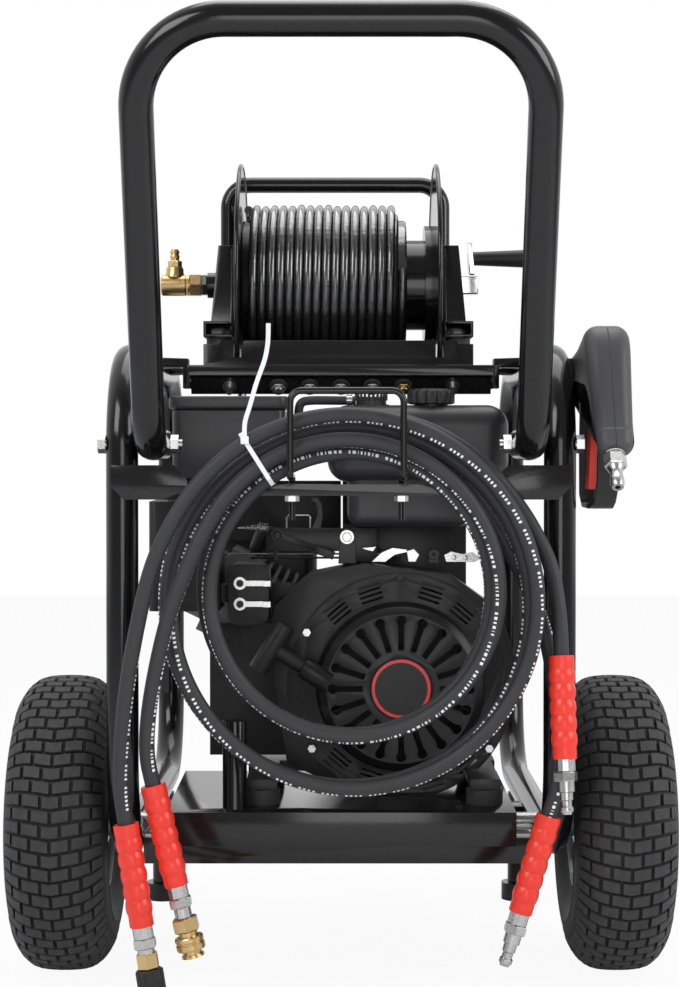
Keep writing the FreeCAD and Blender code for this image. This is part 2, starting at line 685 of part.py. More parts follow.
# Crankcase: a box round the crank with a foot plate on the mounts
foot_height = 12
case_rear_y = d.shroud_front_y
foot = span(d.mount_left_x - 20, d.mount_right_x + 20, case_rear_y, d.mount_rear_y
            + d.mount_spacing + 26, mount_top_z, mount_top_z + foot_height)
front_feet_arms = [span(x - 16, x + 16, d.mount_rear_y - 16, case_rear_y + 1, mount_top_z,
                        mount_top_z + foot_height) for x in mount_xs]
block = fillet(span(d.engine_x - d.case_half_width, d.engine_x + d.case_half_width, case_rear_y,
                    case_front_y, mount_top_z + foot_height, crank_z + 92), 14, along_y)
crank_bore = rod("Y", d.engine_x, case_rear_y - 1, crank_z, d.shaft_diameter / 2 + d.running_gap,
                 d.case_length + 2)
sump_bottom_z = d.tank_bottom_z - d.tank_sump
bracket_wall = 4
tank_feet = [span(d.engine_x - d.case_half_width + 18, d.engine_x + d.case_half_width - 4, y,
                  y + bracket_wall, crank_z + 91, top - d.weld_gap)
             for y, top in ((d.tank_rear_y + 90, sump_bottom_z), (d.tank_rear_y + 225, d.tank_bottom_z))]
node("crankcase", cut(fuse(block, foot, *front_feet_arms, *tank_feet), crank_bore))

# Cylinder with fins, and its head, leaning up to the left
lean = FreeCAD.Rotation(vector(0, 1, 0), -90 + float(d.cylinder_lean))
lean_cos = math.cos(math.radians(float(d.cylinder_lean)))
lean_sin = math.sin(math.radians(float(d.cylinder_lean)))
barrel_start = 92
barrel_y = case_rear_y + 50 + d.cylinder_width / 2


def on_cylinder(reach, side=0):
    """Point at a distance along the cylinder axis."""
    x = d.engine_x - reach * lean_cos + side * lean_sin
    z = crank_z + reach * lean_sin + side * lean_cos
    return x, barrel_y, z


def cylinder_block(reach, length, half_wide, half_deep):
    """Block centred on the cylinder axis."""
    block = bind(new("Part::Box", "fin"), Length=2 * half_wide, Width=2 * half_deep, Height=length)
    base = on_cylinder(reach, 0)
    x = base[0] - half_wide * lean_sin
    z = base[2] - half_wide * lean_cos
    return place(block, x, base[1] - half_deep, z, lean)


barrel = cylinder_block(barrel_start, d.cylinder_length - barrel_start, d.cylinder_width / 2 - 14,
                        d.cylinder_width / 2 - 14)
fins = [cylinder_block(barrel_start + 6 + index * 11, 4, d.cylinder_width / 2, d.cylinder_width / 2)
        for index in range(9)]
case_cutter = span(d.engine_x - d.case_half_width - d.weld_gap, d.engine_x + 400,
                   case_rear_y - 100, case_front_y + 100, 0, crank_z + 400)
node("cylinder", cut(fuse(barrel, *fins), case_cutter))
head_start = d.cylinder_length + d.weld_gap
head = cylinder_block(head_start, d.head_length - 22, d.cylinder_width / 2, d.cylinder_width / 2)
rocker = cylinder_block(head_start + d.head_length - 23, 24, d.cylinder_width / 2 - 12,
                        d.cylinder_width / 2 - 12)
plug_foot = on_cylinder(head_start + 16, d.cylinder_width / 2 - 14)
plug_y = barrel_y + 22
plug_foot = (plug_foot[0], plug_y, plug_foot[2])


def on_plug(reach):
    """Point along the spark plug, square to the cylinder."""
    return plug_foot[0] + reach * lean_sin, plug_y, plug_foot[2] + reach * lean_cos


node("cylinder_head", cut(fuse(head, rocker), tube_between(on_plug(-4), on_plug(40), 7.1)))
plug_cap = bind(new("Part::Cone", "plug_cap"), Radius1=9, Radius2=11, Height=34)
plug_turn = FreeCAD.Rotation(vector(0, 1, 0), float(d.cylinder_lean))
plug = fuse(tube_between(on_plug(0), on_plug(34), 6.8), place(plug_cap, *on_plug(18), plug_turn))
node("spark_plug_cap", plug)

# Crankshaft with its flywheel and fan, turning together
flywheel_y = d.shroud_front_y - d.flywheel_gap - 34
shaft_start = flywheel_y - 6
shaft = rod("Y", d.engine_x, shaft_start, crank_z, d.shaft_diameter / 2,
            case_front_y + d.shaft_reach - shaft_start)
node("crankshaft", shaft)
wheel_disc = rod("Y", d.engine_x, flywheel_y + 14, crank_z, d.flywheel_radius, 18)
blades = []
for index in range(16):
    blade = box(0, 0, 0, 30, 24, 3)
    angle = index * 22.5
    turn = FreeCAD.Rotation(vector(0, 1, 0), angle)
    offset = turn.multVec(vector(float(d.flywheel_radius) - 36, 0, 0))
    place(blade, d.engine_x + offset.x, flywheel_y - 6, crank_z + offset.z, turn)
    blades.append(blade)
cup = rod("Y", d.engine_x, flywheel_y - 2, crank_z, 40, 18)
shaft_bore = rod("Y", d.engine_x, flywheel_y - 20, crank_z,
                 d.shaft_diameter / 2 + d.running_gap, 80)
node("flywheel", cut(fuse(wheel_disc, cup, *blades), shaft_bore))

# Fan shroud: a round housing that reaches up towards the cylinder
shroud_length = d.shroud_front_y - d.shroud_rear_y
shroud_height = 252
outline_middle = 135
outline = [(34, 30), (100, 0), (206, 0), (282, 76), (290, 140), (270, 200), (215, 240),
           (120, shroud_height), (60, 240), (20, 205), (20, 120)]
shroud_x = d.engine_x - 160
shroud_z = crank_z - d.shroud_radius + 24
shroud = plate(outline, shroud_length - d.weld_gap, shroud_x, d.shroud_front_y - d.weld_gap,
               shroud_z, TO_MINUS_Y)
inner_outline = [(outline_middle + (across - outline_middle) * 0.965,
                  outline_middle + (up - outline_middle) * 0.965) for across, up in outline]
shroud_hollow = plate(inner_outline, shroud_length - d.weld_gap - 2 * d.sheet, shroud_x,
                      d.shroud_front_y - d.weld_gap - d.sheet, shroud_z, TO_MINUS_Y)
shroud_bore = rod("Y", d.engine_x, d.shroud_rear_y - 1, crank_z, d.flywheel_radius + 4,
                  shroud_length - 4)
centre_hole = rod("Y", d.engine_x, d.shroud_front_y - 10, crank_z, 44, 20)
guide_y = d.shroud_front_y - d.weld_gap - d.sheet
guide_right_x = shroud_x + 40
air_guide = [span(d.control_left_x - 24, guide_right_x, guide_y, guide_y + d.sheet, shroud_z + 29,
                  d.control_bottom_z - 3),
             span(d.control_left_x + d.control_width + 1, guide_right_x, guide_y, guide_y + d.sheet,
                  d.control_bottom_z - 4, shroud_z + 226)]
node("fan_shroud", fuse(cut(shroud, shroud_hollow, shroud_bore, centre_hole), *air_guide))


# Recoil starter cover: a dome with pear slots on a flange with vent slots
def radial_slots(y, length):
    """Ring of tapered slots round the crank axis."""
    slots = []
    count = round(float(d.slot_count))
    for index in range(count):
        angle = index * 360 / count
        turn = FreeCAD.Rotation(vector(0, 1, 0), angle)
        out = turn.multVec(vector(float(d.slot_outer), 0, 0))
        inward = turn.multVec(vector(float(d.slot_inner), 0, 0))
        wide = rod("Y", d.engine_x + out.x, y, crank_z + out.z, d.slot_width / 2, length)
        bar = box(0, 0, 0, d.slot_outer - d.slot_inner, length, d.slot_width * 0.6)
        shift = turn.multVec(vector(0, 0, -0.3 * float(d.slot_width)))
        place(bar, d.engine_x + inward.x + shift.x, y, crank_z + inward.z + shift.z, turn)
        slots += [wide, bar]
    return slots


def vent_slots(y, length):
    """Eight groups of four vents in the flange, made as short bars."""
    vents = []
    for start in (50, 72, 108, 130, 230, 252, 288, 310):
        for row in range(4):
            radius = 99 + row * 5.6
            turn = FreeCAD.Rotation(vector(0, 1, 0), -start)
            along = turn.multVec(vector(radius, 0, -12.5))
            vent = box(0, 0, 0, 2.6, length, 25)
            place(vent, d.engine_x + along.x, y, crank_z + along.z, turn)
            vents.append(vent)
    return vents


flange_depth = d.recoil_flange_y - d.recoil_face_y
wall = d.cover_wall
cover = turned([
    (0, d.badge_depth), (d.badge_radius + 0.2, d.badge_depth), (d.badge_radius + 0.2, 0),
    (d.dome_radius - 8, 0), (d.dome_radius, 6), (d.dome_radius + 4, flange_depth),
    (d.recoil_radius, flange_depth), (d.recoil_radius, flange_depth + wall + 0.8),
    (d.dome_radius + 1, flange_depth + wall + 0.8), (d.dome_radius - 4, 8),
    (d.dome_radius - 10, wall), (d.badge_radius + 4, wall), (d.badge_radius + 4, wall + d.badge_depth),
    (0, wall + d.badge_depth)],
    d.engine_x, d.recoil_face_y, crank_z, TO_Y)
flat_side = box(0, 0, 0, 90, 60, 400)
place(flat_side, d.engine_x - 99 - 90, d.recoil_face_y - 5, crank_z - 180,
      FreeCAD.Rotation(vector(0, 1, 0), -14))
low_side = span(d.engine_x - 200, d.engine_x + 200, d.recoil_face_y - 5, d.shroud_rear_y + 5,
                crank_z - 160, crank_z - 120)
foot_side = span(d.engine_x + 72, d.engine_x + 200, d.recoil_face_y - 5, d.shroud_rear_y + 5,
                 crank_z - 160, crank_z - 92)
screw_spots = []
for angle in (35, 90, 150, 215, 325):
    reach = float(d.recoil_radius) - 6
    x = d.engine_x + reach * math.cos(math.radians(angle))
    z = crank_z + reach * math.sin(math.radians(angle))
    screw_spots.append((x, z))
screw_holes = [rod("Y", x, d.recoil_flange_y - 3, z, 3.2, 14) for x, z in screw_spots]
recoil_shell = cut(cover, flat_side, low_side, foot_side,
                   *radial_slots(d.recoil_face_y - 1, wall + 1.5),
                   *vent_slots(d.recoil_flange_y - 2, 12), *screw_holes)
for x, z in screw_spots[:1] + screw_spots[2:]:
    fasteners.append(hexagon("Y", x, d.recoil_flange_y - 4.7, z, 8, 4.5))
node("recoil_badge", rod("Y", d.engine_x, d.recoil_face_y - 0.6, crank_z, d.badge_radius,
                         d.badge_depth + 0.4))

# Starter grip: a stem with a cross bar, pulled up and to the left
pull = vector(-0.85, 0, 0.53).normalize()
stem_start = vector(float(d.engine_x) - 108, float(d.recoil_face_y) + 4, float(crank_z) + 24)


def on_pull(reach):
    """Point along the rope's way out."""
    spot = stem_start + pull * reach
    return spot.x, spot.y, spot.z


stem = tube_between(on_pull(0), on_pull(34), 8)
side_way = vector(0.53, 0, 0.85).normalize()
bar_spot = stem_start + pull * 40
bar_one = bar_spot - side_way * 29
bar_two = bar_spot + side_way * 29
grip_bar = tube_between((bar_one.x, bar_one.y, bar_one.z), (bar_two.x, bar_two.y, bar_two.z), 11)
rope = tube_between(on_pull(-34), on_pull(1), 2)
node("starter_grip", fuse(stem, grip_bar, rope))
guide_a, guide_b = on_pull(-34), on_pull(-0.4)
guide = tube_between(guide_a, guide_b, 12)
rope_bore = tube_between(on_pull(-60), on_pull(1), 2.6)
node("recoil_cover", cut(fuse(recoil_shell, guide), rope_bore))

# Fuel tank, neck, cap and vent
tank = fillet(span(d.tank_left_x, d.tank_left_x + d.tank_width, d.tank_rear_y,
                   d.tank_rear_y + d.tank_length, d.tank_bottom_z,
                   d.tank_bottom_z + d.tank_height), d.tank_round)
tank_top = d.tank_bottom_z + d.tank_height
cap_x, cap_y = d.tank_left_x + 116, d.tank_rear_y + 36
neck = rod("Z", cap_x, cap_y, tank_top - 12, d.neck_radius, d.neck_height + 12)
vent_x, vent_y = d.tank_left_x + 49, d.tank_rear_y + 40
vent_base = rod("Z", vent_x, vent_y, tank_top - 4, 20, 5)
vent_disc = rod("Z", vent_x, vent_y, tank_top, 17, 9.5)
sump = fillet(span(d.tank_left_x + 22, d.tank_left_x + d.tank_width - 40, d.tank_rear_y + 14,
                   d.tank_rear_y + 160, sump_bottom_z, d.tank_bottom_z + 30), d.tank_round * 0.6)
node("fuel_tank", fuse(tank, sump, neck, vent_base, vent_disc))
cap_low = tank_top + 1
cap = cut(rod("Z", cap_x, cap_y, cap_low, d.cap_radius, d.cap_height),
          rod("Z", cap_x, cap_y, cap_low - 1, d.neck_radius + 0.3, d.neck_height + 0.3),
          *[rod("Z", cap_x + d.cap_radius * math.cos(math.radians(angle)),
                cap_y + d.cap_radius * math.sin(math.radians(angle)), cap_low - 1, 2.2,
                d.cap_height - 2) for angle in range(0, 360, 30)])
node("fuel_cap", cap)
vent_z = tank_top + 6
vent_corner_x = d.cleaner_left_x + d.cleaner_width + 16
vent_route = points_of([
    (vent_x - 17 - d.seat_gap, vent_y, vent_z), (vent_corner_x, vent_y, vent_z),
    (vent_corner_x, vent_y, vent_z - 52),
    (d.cleaner_left_x + d.cleaner_width + d.seat_gap, vent_y, vent_z - 52)])
vent_wire = bent_wire(vent_route, [10, 8])
node("vent_hose", shaped(sweep_round(vent_wire, float(d.vent_hose / 2))))

# Air cleaner with its canister and the control box
cleaner = fillet(span(d.cleaner_left_x, d.cleaner_left_x + d.cleaner_width, d.cleaner_rear_y,
                      d.cleaner_rear_y + d.cleaner_length, d.cleaner_bottom_z,
                      d.cleaner_bottom_z + d.cleaner_height - 14), 10, upright)
lid_z = d.cleaner_bottom_z + d.cleaner_height - 14 + d.weld_gap
lid = fillet(span(d.cleaner_left_x - 4, d.cleaner_left_x + d.cleaner_width + 4,
                  d.cleaner_rear_y - 4, d.cleaner_rear_y + d.cleaner_length + 4,
                  lid_z, lid_z + 14), 12, upright)
node("air_cleaner", group(cleaner, lid))
canister = fillet(span(d.canister_left_x, d.canister_left_x + d.canister_width, d.cleaner_rear_y,
                       d.cleaner_rear_y + d.canister_length, d.canister_bottom_z,
                       d.canister_bottom_z + d.canister_height), 8, upright)
latch = rod("Y", d.canister_left_x + 12, d.cleaner_rear_y - 7, d.canister_bottom_z + 24, 8, 8)
duct_x = d.canister_left_x + d.canister_width / 2
duct = span(duct_x - 20, duct_x + 30, d.cleaner_rear_y + 30, d.cleaner_rear_y + 80,
            d.canister_bottom_z + d.canister_height - 1, d.cleaner_bottom_z - d.weld_gap)
control_right = d.control_left_x + d.control_width
control = fillet(span(d.control_left_x, control_right, d.control_rear_y, d.control_rear_y + 60,
                      d.control_bottom_z, d.control_bottom_z + d.control_height), 12, along_y)
intake = span(d.canister_left_x + d.canister_width - 1, d.control_left_x - d.weld_gap,
              d.control_rear_y + 20, d.control_rear_y + 50, d.control_bottom_z + 24,
              d.control_bottom_z + 44)
node("air_canister", fuse(canister, latch, duct, intake))
pivot_x = d.control_left_x + 14
choke_z = d.control_bottom_z + 47
valve_z = d.control_bottom_z + 24
pivots = [rod("Y", pivot_x, d.control_rear_y - 8, z, d.lever_pivot / 2, 9)
          for z in (choke_z, valve_z)]
body_low = span(d.control_left_x + 6, control_right - 6, d.control_rear_y + 60, barrel_y - 70,
                d.control_bottom_z + 8, d.control_bottom_z + 48)
node("carburettor", fuse(control, body_low, *pivots))
lever_gap = d.running_gap
for name, z in (("choke_lever", choke_z), ("fuel_valve_lever", valve_z)):
    y = d.control_rear_y - 6
    eye = rod("Y", pivot_x, y, z, 7, d.lever_thickness)
    arm = span(pivot_x, pivot_x + 32, y, y + d.lever_thickness, z - 3, z + 3)
    tip = span(pivot_x + 26, pivot_x + 34, y - 6, y + d.lever_thickness, z - 3, z + 3)
    bore = rod("Y", pivot_x, y - 2, z, d.lever_pivot / 2 + lever_gap, 10)
    node(name, cut(fuse(eye, arm, tip), bore))

# Governor plate on top of the crankcase, with its rod, and the throttle lever
shroud_top = shroud_z + shroud_height
gov_z = shroud_top + 30
gov_y = case_rear_y - 40
throttle_x = d.engine_x - 138
throttle_slope = 20
gov_plate = span(throttle_x - 12, d.engine_x - 26, gov_y, gov_y + 3, gov_z - 18, gov_z + 8)
gov_foot = span(d.engine_x - 66, d.engine_x - 26, gov_y, gov_y + 40, shroud_top + d.weld_gap,
                gov_z - 15)
pivot_pin = rod("Y", throttle_x, gov_y - 9, gov_z, d.lever_pivot / 2, 10)
lever_y = gov_y - 4
eye = rod("Y", throttle_x, lever_y, gov_z, 8, d.lever_thickness)
throttle_turn = FreeCAD.Rotation(vector(0, 1, 0), throttle_slope)
arm_plate = box(0, 0, 0, 66, d.lever_thickness, 7)
place(arm_plate, throttle_x, lever_y, gov_z - 3, throttle_turn)
bore = rod("Y", throttle_x, lever_y - 2, gov_z, d.lever_pivot / 2 + lever_gap, 12)
knob = box(0, 0, 0, 22, 11, 9)
knob_way = throttle_turn.multVec(vector(46, 0, -4))
place(knob, throttle_x + knob_way.x, lever_y - 8, gov_z + knob_way.z, throttle_turn)
node("throttle_lever", cut(fuse(eye, arm_plate, knob), bore))
node("governor_plate", fuse(
    gov_plate, gov_foot, pivot_pin,
    rod("X", throttle_x - 30, gov_y + 14, gov_z - 26, 1.2, 170),
    *[span(x, x + 4, gov_y + 1, gov_y + 16, gov_z - 28, gov_z - 14)
      for x in (throttle_x - 4, d.engine_x - 34)]))

# Muffler behind the cylinder
muffler_y = barrel_y + d.cylinder_width / 2 + 16
muffler = fillet(span(d.engine_x - 226, d.engine_x - 96, muffler_y, muffler_y + 84,
                      crank_z + 50, crank_z + 150), 16)
pipe_spot = on_cylinder(head_start + 18)
exhaust = rod("Y", pipe_spot[0], barrel_y + d.cylinder_width / 2 + d.weld_gap, pipe_spot[2], 15, 40)
muffler_hollow = span(d.engine_x - 219, d.engine_x - 103, muffler_y + 7, muffler_y + 77,
                      crank_z + 57, crank_z + 143)
shield = span(d.engine_x - 216, d.engine_x - 66, muffler_y + 20, muffler_y + 20 + d.sheet,
              crank_z + 140, d.tank_bottom_z - 2)
node("muffler", fuse(cut(muffler, muffler_hollow), exhaust, shield))

# Pump on the crankcase face
pump_y = case_front_y + d.weld_gap
pump_half = d.pump_width / 2
adapter = rod("Y", d.engine_x, pump_y, crank_z, 68, 34)
pump_body = fillet(span(d.engine_x - pump_half, d.engine_x + pump_half, pump_y + 34,
                        pump_y + 34 + d.pump_length, crank_z - 62, crank_z - 62 + d.pump_height),
                   12, along_y)
socket = rod("Y", d.engine_x, pump_y - 1, crank_z, d.shaft_diameter / 2 + 2, d.shaft_reach + 6)
node("pump_case", cut(fuse(adapter, pump_body), socket))
manifold_y = pump_y + 34 + d.pump_length + d.weld_gap
manifold = fillet(span(d.engine_x - pump_half + 6, d.engine_x + pump_half - 6, manifold_y,
                       manifold_y + d.manifold_length, crank_z - d.manifold_height / 2,
                       crank_z + d.manifold_height / 2), 6, along_y)
valve_caps = [rod("Y", d.engine_x + shift, manifold_y + d.manifold_length - 1,
                  crank_z + rise, 13, 7) for shift in (-44, 0, 44) for rise in (-24, 24)]
inlet_z = crank_z - 24
inlet = hexagon("X", d.engine_x + pump_half - 7, manifold_y + 26, inlet_z, 26, 24)
outlet = rod("X", d.engine_x - pump_half - 24, manifold_y + 26, crank_z + 24, 11, 31)
valve_z0 = crank_z + d.manifold_height / 2 - 1
unloader_x = d.engine_x + 40
unloader = fuse(rod("Z", unloader_x, manifold_y + 26, valve_z0, 15, 51),
                rod("Z", unloader_x, manifold_y + 26, valve_z0 + 50, 8, 20))
knob_z = valve_z0 + 52
node("unloader_knob", cut(
    rod("Z", unloader_x, manifold_y + 26, knob_z, d.knob_radius, d.knob_height),
    rod("Z", unloader_x, manifold_y + 26, knob_z - 1, 8 + d.running_gap, 20)))
inlet_cup = rod("X", d.engine_x + pump_half + 16, manifold_y + 26, inlet_z, 17, 22)
node("pump_manifold", fuse(manifold, inlet, outlet, inlet_cup, unloader, *valve_caps))

# Reel shelf with its braces to the loops
shelf_front_y = d.shelf_rear_y + d.shelf_length
sw = d.shelf_half_width
shelf_top = span(-sw, sw, d.shelf_rear_y, shelf_front_y, d.shelf_z - d.sheet, d.shelf_z)
shelf_lips = [span(-sw, sw, y, y + d.sheet, d.shelf_z - d.shelf_lip, d.shelf_z)
              for y in (d.shelf_rear_y, shelf_front_y - d.sheet)]
shelf_sides = [span(x, x + d.sheet, d.shelf_rear_y, shelf_front_y, d.shelf_z - d.shelf_side, d.shelf_z)
               for x in (-sw, sw - d.sheet)]
braces = []
brace_rise = loop_top_z - d.shelf_z + d.shelf_side
gap_across = loop_inner_x - sw - d.weld_gap
brace_outline = [(0, 0), (6, 0), (6, 24), (gap_across, brace_rise - 6), (gap_across, brace_rise + 6),
                 (gap_across - 6, brace_rise + 6), (0, 34)]
for y in (d.shelf_rear_y + 45, shelf_front_y - 10):
    braces.append(plate(brace_outline, 30, sw, y, d.shelf_z - d.shelf_side, TO_MINUS_Y))
    mirrored = plate(brace_outline, 30, -sw, y - 30, d.shelf_z - d.shelf_side, TURNED_BACK)
    braces.append(mirrored)

# Reel supports: blocks, rubber pads, rails and upright plates
left_stand_x = d.flange_left_x - d.stand_gap - d.stand_wall
right_stand_x = d.flange_right_x + d.flange_wall + d.stand_gap
block_ys = (d.shelf_rear_y + 26, shelf_front_y - 26)
left_pad_x = left_stand_x + d.stand_wall + 1 - d.block_half
right_pad_x = right_stand_x - 1 + d.block_half
block_top = d.shelf_z + d.block_height
blocks, pads = [], []
for x in (left_pad_x, right_pad_x):
    for y in block_ys:
        blocks.append(span(x - d.block_half, x + d.block_half, y - 20, y + 20, d.shelf_z - 1,
                           block_top))
        pads.append(rod("Z", x, y, block_top + d.weld_gap, d.pad_radius, d.pad_height - 2 * d.weld_gap))
channel = span(left_pad_x, right_pad_x, block_ys[0] - 20, block_ys[0] - 17, d.shelf_z - 1,
               block_top + 4)
rim_swell = 2.6
slots = [rod("X", x - rim_swell, d.reel_y, d.reel_z, d.flange_radius + 4, d.flange_wall + 2 * rim_swell)
         for x in (d.flange_left_x, d.flange_right_x)]
node("reel_shelf", cut(fuse(shelf_top, *shelf_lips, *shelf_sides, *blocks, *braces, channel), *slots))
node("rubber_mounts", group(*mounts, *pads))
rail_z = block_top + d.pad_height
stands = []
fold_foot = 27
bearing_radius = d.reel_shaft / 2 + d.running_gap
for x, pad_x, outward in ((left_stand_x, left_pad_x, -1), (right_stand_x, right_pad_x, 1)):
    rail = span(pad_x - d.block_half, pad_x + d.block_half, block_ys[0] - 20, block_ys[1] + 20,
                rail_z, rail_z + d.rail_wall)
    lip_x = pad_x - d.block_half if outward < 0 else pad_x + d.block_half - d.rail_wall
    lip = span(lip_x, lip_x + d.rail_wall, block_ys[0] - 20, block_ys[1] + 20, rail_z,
               rail_z + d.rail_height)
    base_half = d.stand_half
    rise = d.reel_z - rail_z + 45
    outline = [(0, 0), (base_half * 2, 0), (base_half * 2, 20), (base_half + 24, rise),
               (base_half - 24, rise), (0, 20)]
    upright_plate = plate(outline, d.stand_wall, x, d.reel_y - base_half, rail_z, YZ_OUTLINE)
    boss_x = x - 10 if outward < 0 else x + d.stand_wall
    boss = rod("X", boss_x, d.reel_y, d.reel_z, 26, 10)
    fold_rise = d.reel_z + 45 - rail_z
    fold_outline = [(0, 0), (fold_foot, 0), (16, fold_rise), (0, fold_rise)]
    if outward > 0:
        fold = plate(fold_outline, 3, x + d.stand_wall, d.reel_y - 23, rail_z, TO_MINUS_Y)
    else:
        fold = plate(fold_outline, 3, x, d.reel_y - 26, rail_z, TURNED_BACK)
    flange_x = lip_x if outward < 0 else x + d.stand_wall - 1
    flange = span(flange_x, flange_x + d.block_half * 2 - d.stand_wall, block_ys[0] - 20,
                  d.reel_y + base_half, rail_z + d.rail_height - d.rail_wall, rail_z + d.rail_height)
    bore = rod("X", x - 20, d.reel_y, d.reel_z, bearing_radius, 50)
    stands.append(cut(fuse(rail, lip, upright_plate, boss, fold, flange), bore))
node("reel_stands", group(*stands))

# Guard bar over the reel
guard_r = d.guard_tube / 2
guard_foot = rail_z + d.rail_wall + d.weld_gap
guard_bend = 28
guard_right_x = d.flange_right_x + d.flange_wall + rim_swell + guard_r
guard_route = points_of([
    (left_pad_x, d.guard_y, guard_foot), (left_pad_x, d.guard_y, d.guard_z),
    (guard_right_x, d.guard_y, d.guard_z), (guard_right_x, d.guard_y, guard_foot)])
guard_wire = bent_wire(guard_route, [guard_bend, guard_bend])
node("reel_guard_bar", shaped(sweep_round(guard_wire, float(guard_r))))

# Reel drum: shaft, core, collar and two flanges turn together
shaft_left = left_stand_x - 30
shaft_right = right_stand_x + d.stand_wall + 16
drum_inner = d.flange_left_x + d.flange_wall
reel_shaft = rod("X", shaft_left, d.reel_y, d.reel_z, d.reel_shaft / 2, shaft_right - shaft_left)
core = rod("X", drum_inner - 1, d.reel_y, d.reel_z, d.drum_radius, d.flange_right_x - drum_inner + 2)
collar = rod("X", d.flange_right_x - d.collar_width, d.reel_y, d.reel_z, d.collar_radius,
             d.collar_width + 1)
discs = []
for x in (d.flange_left_x, d.flange_right_x):
    disc = rod("X", x, d.reel_y, d.reel_z, d.flange_radius, d.flange_wall)
    rim_ring = bind(new("Part::Torus", "rolled_rim"), Radius1=d.flange_radius - 1, Radius2=rim_swell)
    place(rim_ring, x + d.flange_wall / 2, d.reel_y, d.reel_z, TO_X)
    discs.append(fuse(disc, rim_ring))
core_hollow = rod("X", drum_inner + 1, d.reel_y, d.reel_z, d.drum_radius - d.sheet,
                  d.flange_right_x - drum_inner - 2)
collar_hollow = rod("X", d.flange_right_x - d.collar_width + 2, d.reel_y, d.reel_z,
                    d.collar_radius - 2, d.collar_width - 3)
drum_shell = cut(fuse(core, collar, *discs), core_hollow, collar_hollow)
node("reel_drum", fuse(reel_shaft, drum_shell))

# Wound hose: a plain core of inner layers and one visible outer layer
hose_r = float(d.reel_hose / 2)
wind_radius = float(d.winding_radius - d.reel_hose / 2)
wind_left = float(d.flange_left_x + d.flange_wall + d.winding_left) + hose_r
wind_centre = vector(0, float(d.reel_y), float(d.reel_z))


def winding(angle):
    """Point of the outer layer at an angle in turns times two pi."""
    x = wind_left + float(d.reel_pitch) * angle / (2 * math.pi)
    return wind_centre + vector(x, wind_radius * math.sin(angle), wind_radius * math.cos(angle))


turns = float(d.reel_turns)
winding_wire = wound_wire(winding, 0, turns * 2 * math.pi, math.pi / 2, hose_r * 0.2)
least_gap("reel_hose", winding, 0, turns * 2 * math.pi, hose_r * 2)
print("reel_hose length", round(winding_wire.Length, 1))
outer_layer = shaped(sweep_round(winding_wire, hose_r))
inner_left = d.flange_left_x + d.flange_wall + d.winding_left - 1
inner_layers = cut(
    rod("X", inner_left, d.reel_y, d.reel_z, d.winding_radius - d.reel_hose - d.seat_gap,
        d.reel_pitch * d.reel_turns + d.reel_hose + 3),
    rod("X", inner_left - 1, d.reel_y, d.reel_z, d.drum_radius + d.weld_gap,
        d.reel_pitch * d.reel_turns + d.reel_hose + 8))
node("reel_hose", group(inner_layers, outer_layer))

# Crank on the right end of the reel shaft
crank_x = shaft_right + d.weld_gap
hub = fillet(span(crank_x, crank_x + 24, d.reel_y - 11, d.reel_y + 11, d.reel_z - 11, d.reel_z + 11),
             2, lambda edge: True)
arm_x = crank_x + 15
lean_back = math.radians(float(d.crank_lean))
crank_turn = FreeCAD.Rotation(vector(1, 0, 0), -float(d.crank_lean))
arm_corner = crank_turn.multVec(vector(0, -13, 6))
arm_box = place(box(0, 0, 0, d.crank_wall, 26, d.crank_reach + 10), arm_x, d.reel_y + arm_corner.y,
                d.reel_z + arm_corner.z, crank_turn)
grip_x = arm_x + d.crank_wall
grip_y = d.reel_y + d.crank_reach * math.sin(lean_back)
grip_z = d.reel_z + d.crank_reach * math.cos(lean_back)
pin = rod("X", grip_x - 1, grip_y, grip_z, 4, d.grip_length + 4)
pin_end = rod("X", grip_x + d.grip_length + 2, grip_y, grip_z, 5.5, 2)
node("reel_crank", fuse(hub, arm_box, pin, pin_end))
grip = taper("X", grip_x + d.seat_gap, grip_y, grip_z, d.grip_radius, d.grip_radius + 4,
             d.grip_length + 1)
node("crank_grip", cut(grip, rod("X", grip_x - 1, grip_y, grip_z, 4 + d.running_gap,
                                 d.grip_length + 4)))
print("crank grip axis", round(float(grip_y), 3), round(float(grip_z), 3))

# Brass swivel on the left end of the reel shaft
swivel_x = shaft_left - d.weld_gap
steel_hex = hexagon("X", swivel_x - 7, d.reel_y, d.reel_z, 24, 7)
brass_hex = hexagon("X", swivel_x - 23, d.reel_y, d.reel_z, 25, 17)
brass_body = rod("X", swivel_x - 55, d.reel_y, d.reel_z, 12.5, 33)
elbow_base = taper("Z", swivel_x - 39, d.reel_y, d.reel_z + 10, 11, 8, 14)
elbow_nipple = rod("Z", swivel_x - 39, d.reel_y, d.reel_z + 23, 6, 20)
node("reel_swivel", fuse(steel_hex, brass_hex, brass_body, elbow_base, elbow_nipple))

# Inclined nozzle panel under the shelf lip, with rubber grommets and nozzles
panel_turn = FreeCAD.Rotation(vector(1, 0, 0), float(d.panel_tilt))
panel_top_y = d.shelf_rear_y + d.sheet + 5
panel_top_z = d.shelf_z - d.shelf_lip - 2
count = 5
first_nozzle = -2 * d.nozzle_pitch


def on_panel(across, out, down):
    """Point on the panel: across, out towards the rear and down its slope."""
    spot = panel_turn.multVec(vector(float(across), -float(out), -float(down)))
    return (across, panel_top_y + spot.y, panel_top_z + spot.z)


def panel_rod(across, down, out, radius, length):
    """Round bar square to the panel."""
    bar = bind(new("Part::Cylinder", "bar"), Radius=radius, Height=length)
    turn = panel_turn.multiply(FreeCAD.Rotation(vector(1, 0, 0), 90))
    return place(bar, *on_panel(across, out, down), turn)


